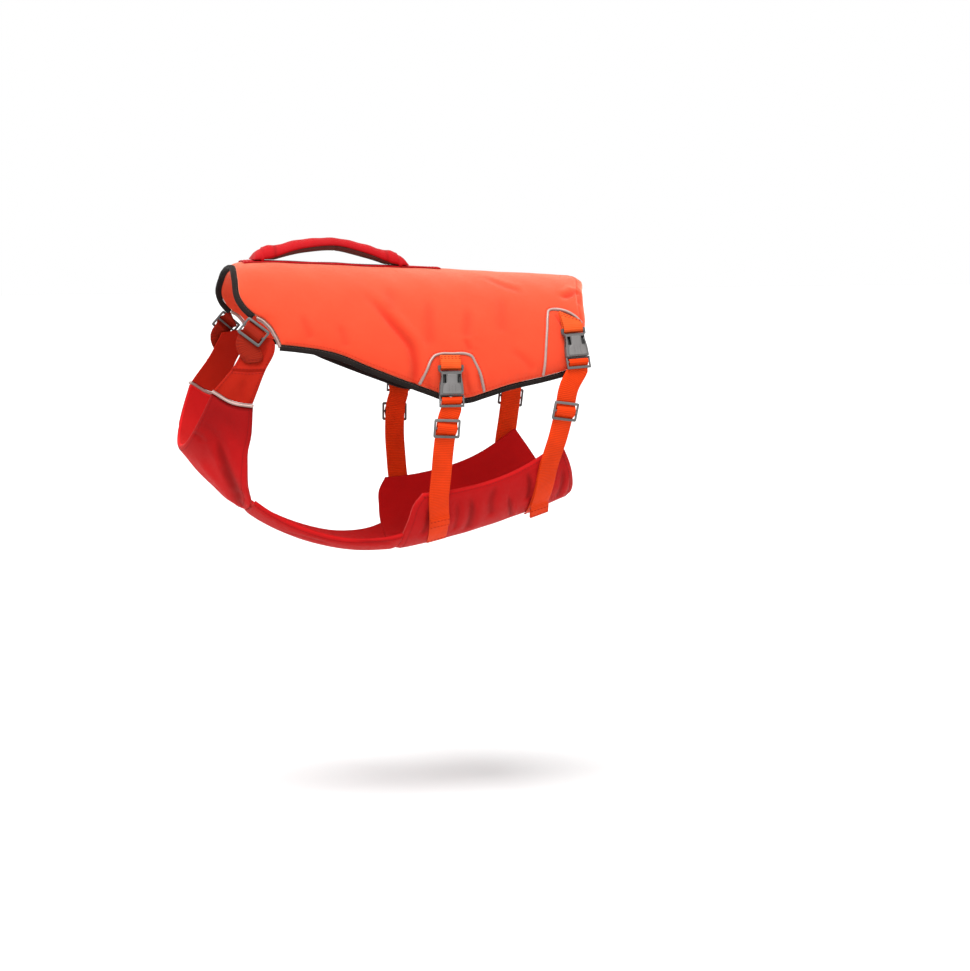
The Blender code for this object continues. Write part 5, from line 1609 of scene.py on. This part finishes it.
class JACKET_OT_piping(JacketOperator, bpy.types.Operator):
    """Build the reflective piping at the shoulders, on the chest seams and round the strap loops"""

    bl_idname = "jacket.piping"
    bl_label = "Piping"

    def build(self, finish):
        half = PIPING_HALF_WIDTH
        seam = bead(half, SEAM_UNDER, SEAM_TOP, 1.25 * MM)
        lying = bead(half, -0.6 * MM, GAP + PIPING_HEIGHT, 1.35 * MM)
        for side, name in SIDES:
            shares = np.linspace(FRONT_PIPING_START, 1, 36)
            frames = lengthened(saddle_edge(saddle_place(0 * shares, side * shares), side), end=1.8 * MM)
            made = {"front": (frames, seam + (half + GAP, 0))}
            keys = np.linspace(BIB_TOP[0][0], BIB_TOP[-1][0], 44)
            along = side * (body.half_girth(keys) - curve_at(BIB_TOP, keys))
            made["chest"] = (path_frames(*body.path(keys, along)), seam)
            for place, strap in STRAPS.items():
                key, along = even_rows(strap["pocket"], POCKET_STEP).T
                beside = [saddle_top(*beside_path(key, along, step)) for step in (-half, 0.0, half)]
                height = np.max(beside, axis=0)
                if place == "rear":  # its end runs over the end of the loop's webbing
                    start, length, rise, least = REAR_CLIMB
                    over = ease((key - start) / length)
                    height = np.maximum(height + rise * over, least * over)
                made[place] = (path_frames(*body.path(key, side * along, height)), lying)
            for place, (frames, section) in made.items():
                mesh = swept(frames, section)
                place_piece(f"piping_{place}_{name}_bead", mesh, finish["piping"], "reflective_piping")


class JACKET_OT_webbing(JacketOperator, bpy.types.Operator):
    """Build the belly straps, the loops that hold their sockets and the neck webbing"""

    bl_idname = "jacket.webbing"
    bl_label = "Webbing"

    def build(self, finish):
        for side, name in SIDES:
            for place, strap, guide in guided_straps(side):
                rows = loop_rows(guide.buckle, strap["loop_skew"])
                self.add(f"loop_{place}_{name}", guide, rows, "folded", "saddle_cloth", finish["loop"])
                rows = strap_rows(strap, guide)
                self.add(
                    f"strap_{place}_{name}", guide, rows, "stretched", "belly_panel_cloth", finish["webbing"]
                )
            guide = Guide(NECK_ROWS, side)
            rows = [(0.0, WEB_MIDDLE, NECK_SKEW), *over_bar(NECK_SLIDER), (guide.lengths[-1], WEB_MIDDLE)]
            tab = f"neck_tab_{name}_cloth"
            self.add(f"neck_webbing_{name}", guide, rows, "laid", tab, finish["neck"], NECK_END)

    @staticmethod
    def add(node, guide, rows, held, on, material, rounded_end=0.0):
        mesh, length = webbing(guide, rows, rounded_end)
        web = place_piece(f"{node}_web", mesh, material, "orange_webbing")
        flat = (sizes().web_width, round(max(length, 0.0101), 3))


class JACKET_OT_hardware(JacketOperator, bpy.types.Operator):
    """Build the buckles' sockets and plugs, the strap glides and the neck sliders"""

    bl_idname = "jacket.hardware"
    bl_label = "Buckles and glides"

    def build(self, finish):
        plastic = finish["plastic"]
        plate_middle = PLATE_UNDER + 0.5 * PLATE_THICK
        # painted shade on the lower part of every side wall
        socket = shaded(socket_mesh(), SOCKET_UNDER + 0.72 * SOCKET_THICK, WALL_SHADE)
        plug, glide = (shaded(mesh, plate_middle, WALL_SHADE) for mesh in (plug_mesh(), glide_mesh()))
        # painted shade over the whole neck slider
        slider = shaded(glide_mesh(), 1.0, SLIDER_SHADE)
        point = bpy.data.meshes.new("point")
        point.from_pydata([(0, 0, 0)], [], [])
        size = {"Count": sizes().rib_count, "Pitch": 3.2 * MM, "Length": 9 * MM}
        ribs = through_tree(point, "Ribs", rib_tree, Width=0.7 * MM, Plastic=plastic, **size)
        face = Matrix.Translation((0, 22.0 * MM, SOCKET_UNDER + SOCKET_THICK + 0.45 * MM))
        made = {}
        for side, name in SIDES:
            for place, strap, guide in guided_straps(side):
                middle = guide.matrix(guide.buckle + BUCKLE_LENGTH / 2)
                buckle = middle @ Matrix.Translation((0, -BUCKLE_LENGTH / 2, 0))
                made[f"socket_{place}_{name}"] = [(socket, buckle), (ribs, buckle @ face)]
                made[f"plug_{place}_{name}"] = [(plug, buckle)]
                turned = Matrix.Rotation(side * math.radians(strap["glide_turn"]), 4, "Z")
                lying = guide.matrix(guide.buckle + strap["glide"]) @ turned
                made[f"glide_{place}_{name}"] = [(glide, lying)]
            made[f"neck_slider_{name}"] = [(slider, Guide(NECK_ROWS, side).matrix(NECK_SLIDER))]
        for node, parts in made.items():
            place_piece(f"{node}_moulding", joined(parts), plastic, "grey_plastic")


def dome_rings(ys, flats, tops, half_width):
    """Rings across the handle: flat at one height over the saddle, round over to the other."""
    base = body.on_body(ys, 0 * ys, saddle_top(ys, 0 * ys))[:, 2]
    turns = np.linspace(0, math.pi, DOME_SIDES + 1)
    heights = base[:, None] + mix(flats[:, None], tops[:, None], np.sin(turns) ** DOME_ROUND)
    return np.stack(np.broadcast_arrays(half_width * np.cos(turns), ys[:, None], heights), axis=2)


class JACKET_OT_handle(JacketOperator, bpy.types.Operator):
    """Build the grab handle: its base tape, its padded grip and the grip's lining"""

    bl_idname = "jacket.handle"
    bl_label = "Handle"

    def build(self, finish):
        u, v = np.meshgrid(np.linspace(0, 1, 133), np.linspace(-1, 1, 17), indexing="ij")
        key, along = mix(*TAPE_ENDS, u), v * TAPE_HALF_WIDTH
        under = saddle_top(key, along) + GAP
        inner, outer = body.on_body(key, along, under), body.on_body(key, along, under + TAPE_THICK)
        tape = wall(outer, inner, np.stack([along, key], axis=2))
        tape = place_piece("handle_tape_cloth", tape, finish["handle"], "handle_red")

        arch = [*((-reach, *heights) for reach, *heights in reversed(HANDLE_ARCH[1:])), *HANDLE_ARCH]
        reach = np.linspace(arch[0][0], arch[-1][0], 121)
        under, split, top = smooth(arch, reach).T
        joint = bump(reach - LINING_JOINT[0], LINING_JOINT[1])
        rings = dome_rings(HANDLE_APEX + reach, split, under + 0.5 * MM * joint, LINING_HALF_WIDTH)
        lining = store(sweep(rings, reach - reach[0]), "fold", np.repeat(joint, rings.shape[1]))
        lining = place_piece("handle_lining_pad", lining, finish["lining"], "dark_tape")

        start = arch[-1][0] + 2 * GAP
        foot_reach = np.linspace(start, HANDLE_FOOT[-1][0], 26)
        flats, tops = smooth([(start, split[-1], top[-1]), *HANDLE_FOOT], foot_reach).T
        reach = np.concatenate([-foot_reach[::-1], reach, foot_reach])
        flats = np.concatenate([flats[::-1], split, flats])
        tops = np.concatenate([tops[::-1], top, tops])
        tops += 0.22 * MM * np.sin(reach * 330 + 1) * (np.abs(reach) < 50 * MM)
        rings = dome_rings(HANDLE_APEX + reach, flats, tops, GRIP_HALF_WIDTH)
        # painted shade in a band across the grip above each foot
        fold = bump(np.abs(reach) - GRIP_SHADE_BAND[0], GRIP_SHADE_BAND[1])
        grip = sweep(rings, running_lengths(rings[:, DOME_SIDES // 2]))
        store(grip, "fold", np.repeat(fold, rings.shape[1]))
        grip = place_piece("handle_grip_pad", grip, finish["handle"], "handle_red")


def on_cloth(cloth, u, v):
    """A stitched row on a panel's face, with the directions out."""
    place, padding, relief = cloth
    u, v = np.broadcast_arrays(np.asarray(u, float), np.asarray(v, float))
    key, along = place(u, v)
    return body.path(key, along, padding(u, v) + relief(key, along)[0] + STITCH_LIFT)


def on_webbing(guide, down, across, height, skew=0.0):
    """A stitched row on webbing: distances down its guide and across it, height of the webbing's middle."""
    down, across, height = np.broadcast_arrays(down, across, height)
    point, side, direction, out = guide.frames(down)
    lift = height + sizes().web_thick / 2 + TAPE_STITCH_LIFT
    sloped = side - direction * skew * guide.side
    return point + sloped * across[:, None] + out * lift[:, None], out


class JACKET_OT_stitching(JacketOperator, bpy.types.Operator):
    """Sew the edges, the bindings, the rear hem, the pockets, the webbing's ends and the handle's tape"""

    bl_idname = "jacket.stitching"
    bl_label = "Stitching"

    def build(self, finish):
        self.saddle(finish)
        self.pads(finish)
        self.webbing(finish)
        paths = []
        key = np.linspace(TAPE_ENDS[0] + 2 * MM, TAPE_ENDS[1] - 2 * MM, 120)
        for half in (-TAPE_HALF_WIDTH + 2 * MM, TAPE_HALF_WIDTH - 2 * MM):
            along = half + 0 * key
            out = saddle_top(key, along) + GAP + TAPE_THICK + TAPE_STITCH_LIFT
            paths.append(body.path(key, along, out))
        stitches("handle_tape_stitches", paths, finish["red_thread"])

    @staticmethod
    def saddle(finish):
        for name, (places, side) in bound_edges(0.005, 0.995, 211, 121).items():
            points, sides, outs = saddle_edge(places, side)
            path = points + sides * (GAP + 1.5 * MM) + outs * (BINDING_HIGH + 0.05 * MM)
            stitches(f"binding_stitches_{name}", [(path, outs)], finish["dark_thread"])
        shares = np.linspace(-0.985, 0.985, 201)
        rows = [saddle_place(1 - HEM_STITCHES / SADDLE_SPAN[0] + 0 * shares, shares)]
        along_edge = np.linspace(0.02, 0.98, 201)
        for side, _ in SIDES:
            rows.append(saddle_place(along_edge, side * (1 - 0.0030 / SADDLE_SPAN[1])))
            for strap in STRAPS.values():
                key, along = beside_path(*even_rows(strap["pocket"], POCKET_STEP).T, 2.5 * MM)
                rows.append((key[2:-2], side * along[2:-2]))
        paths = [body.path(*row, saddle_top(*row) + STITCH_LIFT) for row in rows]
        stitches("saddle_stitches", paths, finish["thread"])

    @staticmethod
    def pads(finish):
        paths = []
        line = np.linspace(-0.97, 0.97, 161)
        for node, (cloth, size) in PADS.items():
            edge_u, edge_v = (4 * MM / measure for measure in size)
            rows = [((line + 1) / 2, 1 - edge_v), ((line + 1) / 2, edge_v - 1)]
            if node != "sternum_strip":
                rows += [(edge_u, line), (1 - edge_u, line)]
            paths += [on_cloth(cloth, *row) for row in rows]
        rise = np.linspace(0.03, 0.88, 60)
        seam_key, seam_along = even_rows(TAB_SEAM[1:-1], 1 * MM).T
        for side, _ in SIDES:
            paths += [on_cloth(tab_cloth(side), u, rise) for u in (0.07, 0.93)]
            for step in (-2.2 * MM, 2.2 * MM):
                along = side * (seam_along + step)
                height = TAB_UNDER + TAB_PADDING[0] + tab_relief(seam_key, along)[0] + STITCH_LIFT
                paths.append(body.path(seam_key, along, height))
        stitches("panel_stitches", paths, finish["red_thread"])

    @staticmethod
    def webbing(finish):
        half = sizes().web_width / 2 - 1.2 * MM
        across = np.linspace(-half, half, 15)
        paths = []
        for side, _ in SIDES:
            for _, strap, guide in guided_straps(side):
                start, over, _ = LOOP_ENDS
                bar = guide.buckle - 2 * MM
                for step in (1.6 * MM, 3.6 * MM):
                    share = step / (bar - start)
                    height = mix(over, LOOP_TURN[1] + LOOP_TURN[2], share)
                    skew = strap["loop_skew"] * (1 - share)
                    paths.append(on_webbing(guide, start + step, across, height, skew))
                for step in (2.5 * MM, 6.5 * MM):
                    paths.append(on_webbing(guide, guide.lengths[-1] - step, across, WEB_UNDER))
                end, fold = guide.at_distance_round(strap["tail_end"]), WEB_MIDDLE + HEM_RISE
                for step in (2.0 * MM, HEM_LENGTH - 1.5 * MM):
                    height = fold + strap["tail_lift"] * mix(1.0, 0.3, step / HEM_LENGTH)
                    paths.append(on_webbing(guide, end - step, across, height))
            guide = Guide(NECK_ROWS, side)
            down = np.linspace(NECK_SLIDER + 11 * MM, guide.lengths[-1] - 4 * MM, 20)
            edge = half - 0.8 * MM
            paths += [on_webbing(guide, down, place, WEB_MIDDLE) for place in (-edge, edge)]
            paths.append(on_webbing(guide, guide.lengths[-1] - 3 * MM, across * 0.8, WEB_MIDDLE))
        stitches("webbing_stitches", paths, finish["red_thread"])


FLOOR_HALF = 12.0
TOP_LIGHT_FROM = (0.34, -0.22, 1.0)
TOP_LIGHT_ANGLE = 38  # degrees
CAMERA_PLACE = (2.91089, -0.72577, 0.11)
CAMERA_DOWN, CAMERA_TURN = 6.07614, 74.66566  # degrees
SENSOR = 36  # mm
FOCAL_SHARE = 3000 / 971  # focal length over the sensor's width


class JACKET_OT_stage(JacketOperator, bpy.types.Operator):
    """Lay a plain pale floor, hang a soft lamp overhead and set the camera"""

    bl_idname = "jacket.stage"
    bl_label = "Stage"

    def build(self, finish):
        scene = bpy.context.scene
        stage = scene.jacket_stage
        corners = [(-1, -1), (1, -1), (1, 1), (-1, 1)]
        mesh = bpy.data.meshes.new("floor")
        points = [(x * FLOOR_HALF, y * FLOOR_HALF, stage.floor_height) for x, y in corners]
        mesh.from_pydata(points, [], [(0, 1, 2, 3)])
        paper = Finish("floor paper", Roughness=0.9, Specular_IOR_Level=0.1)
        tone = tuple(stage.floor_colour)
        mesh.materials.append(paper.done(paper.mottled(paper.noise(3.0, 3.0, 0.5), tone, 0.99, 1.0)))
        linked("floor", mesh)

        world = bpy.data.worlds.new("studio")
        world.use_nodes = True
        background = world.node_tree.nodes["Background"]
        background.inputs["Color"].default_value = (1.0, 1.0, 1.0, 1.0)
        background.inputs["Strength"].default_value = stage.sky
        scene.world = world

        lamp = bpy.data.lights.new("top light", "SUN")
        lamp.energy = stage.top_light
        lamp.angle = math.radians(TOP_LIGHT_ANGLE)
        towards = Vector(TOP_LIGHT_FROM).to_track_quat("Z", "Y")
        linked("top light", lamp).rotation_euler = towards.to_euler()

        camera = bpy.data.cameras.new("camera")
        camera.sensor_width = SENSOR
        camera.lens = FOCAL_SHARE * SENSOR
        camera.clip_end = 50
        obj = linked("camera", camera)
        obj.location = CAMERA_PLACE
        obj.rotation_euler = (math.radians(90 - CAMERA_DOWN), 0, math.radians(CAMERA_TURN))
        scene.camera = obj
        scene.view_settings.view_transform = "Standard"


STEPS = (
    JACKET_OT_stage,
    JACKET_OT_saddle,
    JACKET_OT_lower_panels,
    JACKET_OT_neck_tabs,
    JACKET_OT_bindings,
    JACKET_OT_piping,
    JACKET_OT_webbing,
    JACKET_OT_hardware,
    JACKET_OT_handle,
    JACKET_OT_stitching,
)
SETTINGS = {
    "jacket_colours": JacketColours,
    "jacket_sizes": JacketSizes,
    "jacket_stage": JacketStage,
}


class JACKET_PT_sidebar(bpy.types.Panel):
    """The jacket's settings and steps."""

    bl_label = "Dog Life Jacket"
    bl_idname = "JACKET_PT_sidebar"
    bl_space_type = "VIEW_3D"
    bl_region_type = "UI"
    bl_category = "Life Jacket"

    def draw(self, context):
        for label in SETTINGS:
            box = self.layout.box()
            settings = getattr(context.scene, label)
            for name in settings.__annotations__:
                box.prop(settings, name)
        column = self.layout.column(align=True)
        for step in STEPS:
            column.operator(step.bl_idname)


CLASSES = (*SETTINGS.values(), *STEPS, JACKET_PT_sidebar)


def register():
    for one in CLASSES:
        bpy.utils.register_class(one)
    for label, group in SETTINGS.items():
        setattr(bpy.types.Scene, label, PointerProperty(type=group))


def unregister():
    for label in SETTINGS:
        delattr(bpy.types.Scene, label)
    for one in reversed(CLASSES):
        bpy.utils.unregister_class(one)


def main():
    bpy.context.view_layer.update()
    register()
    for step in STEPS:
        group, name = step.bl_idname.split(".")
        getattr(getattr(bpy.ops, group), name)()


if __name__ == "__main__":
    main()
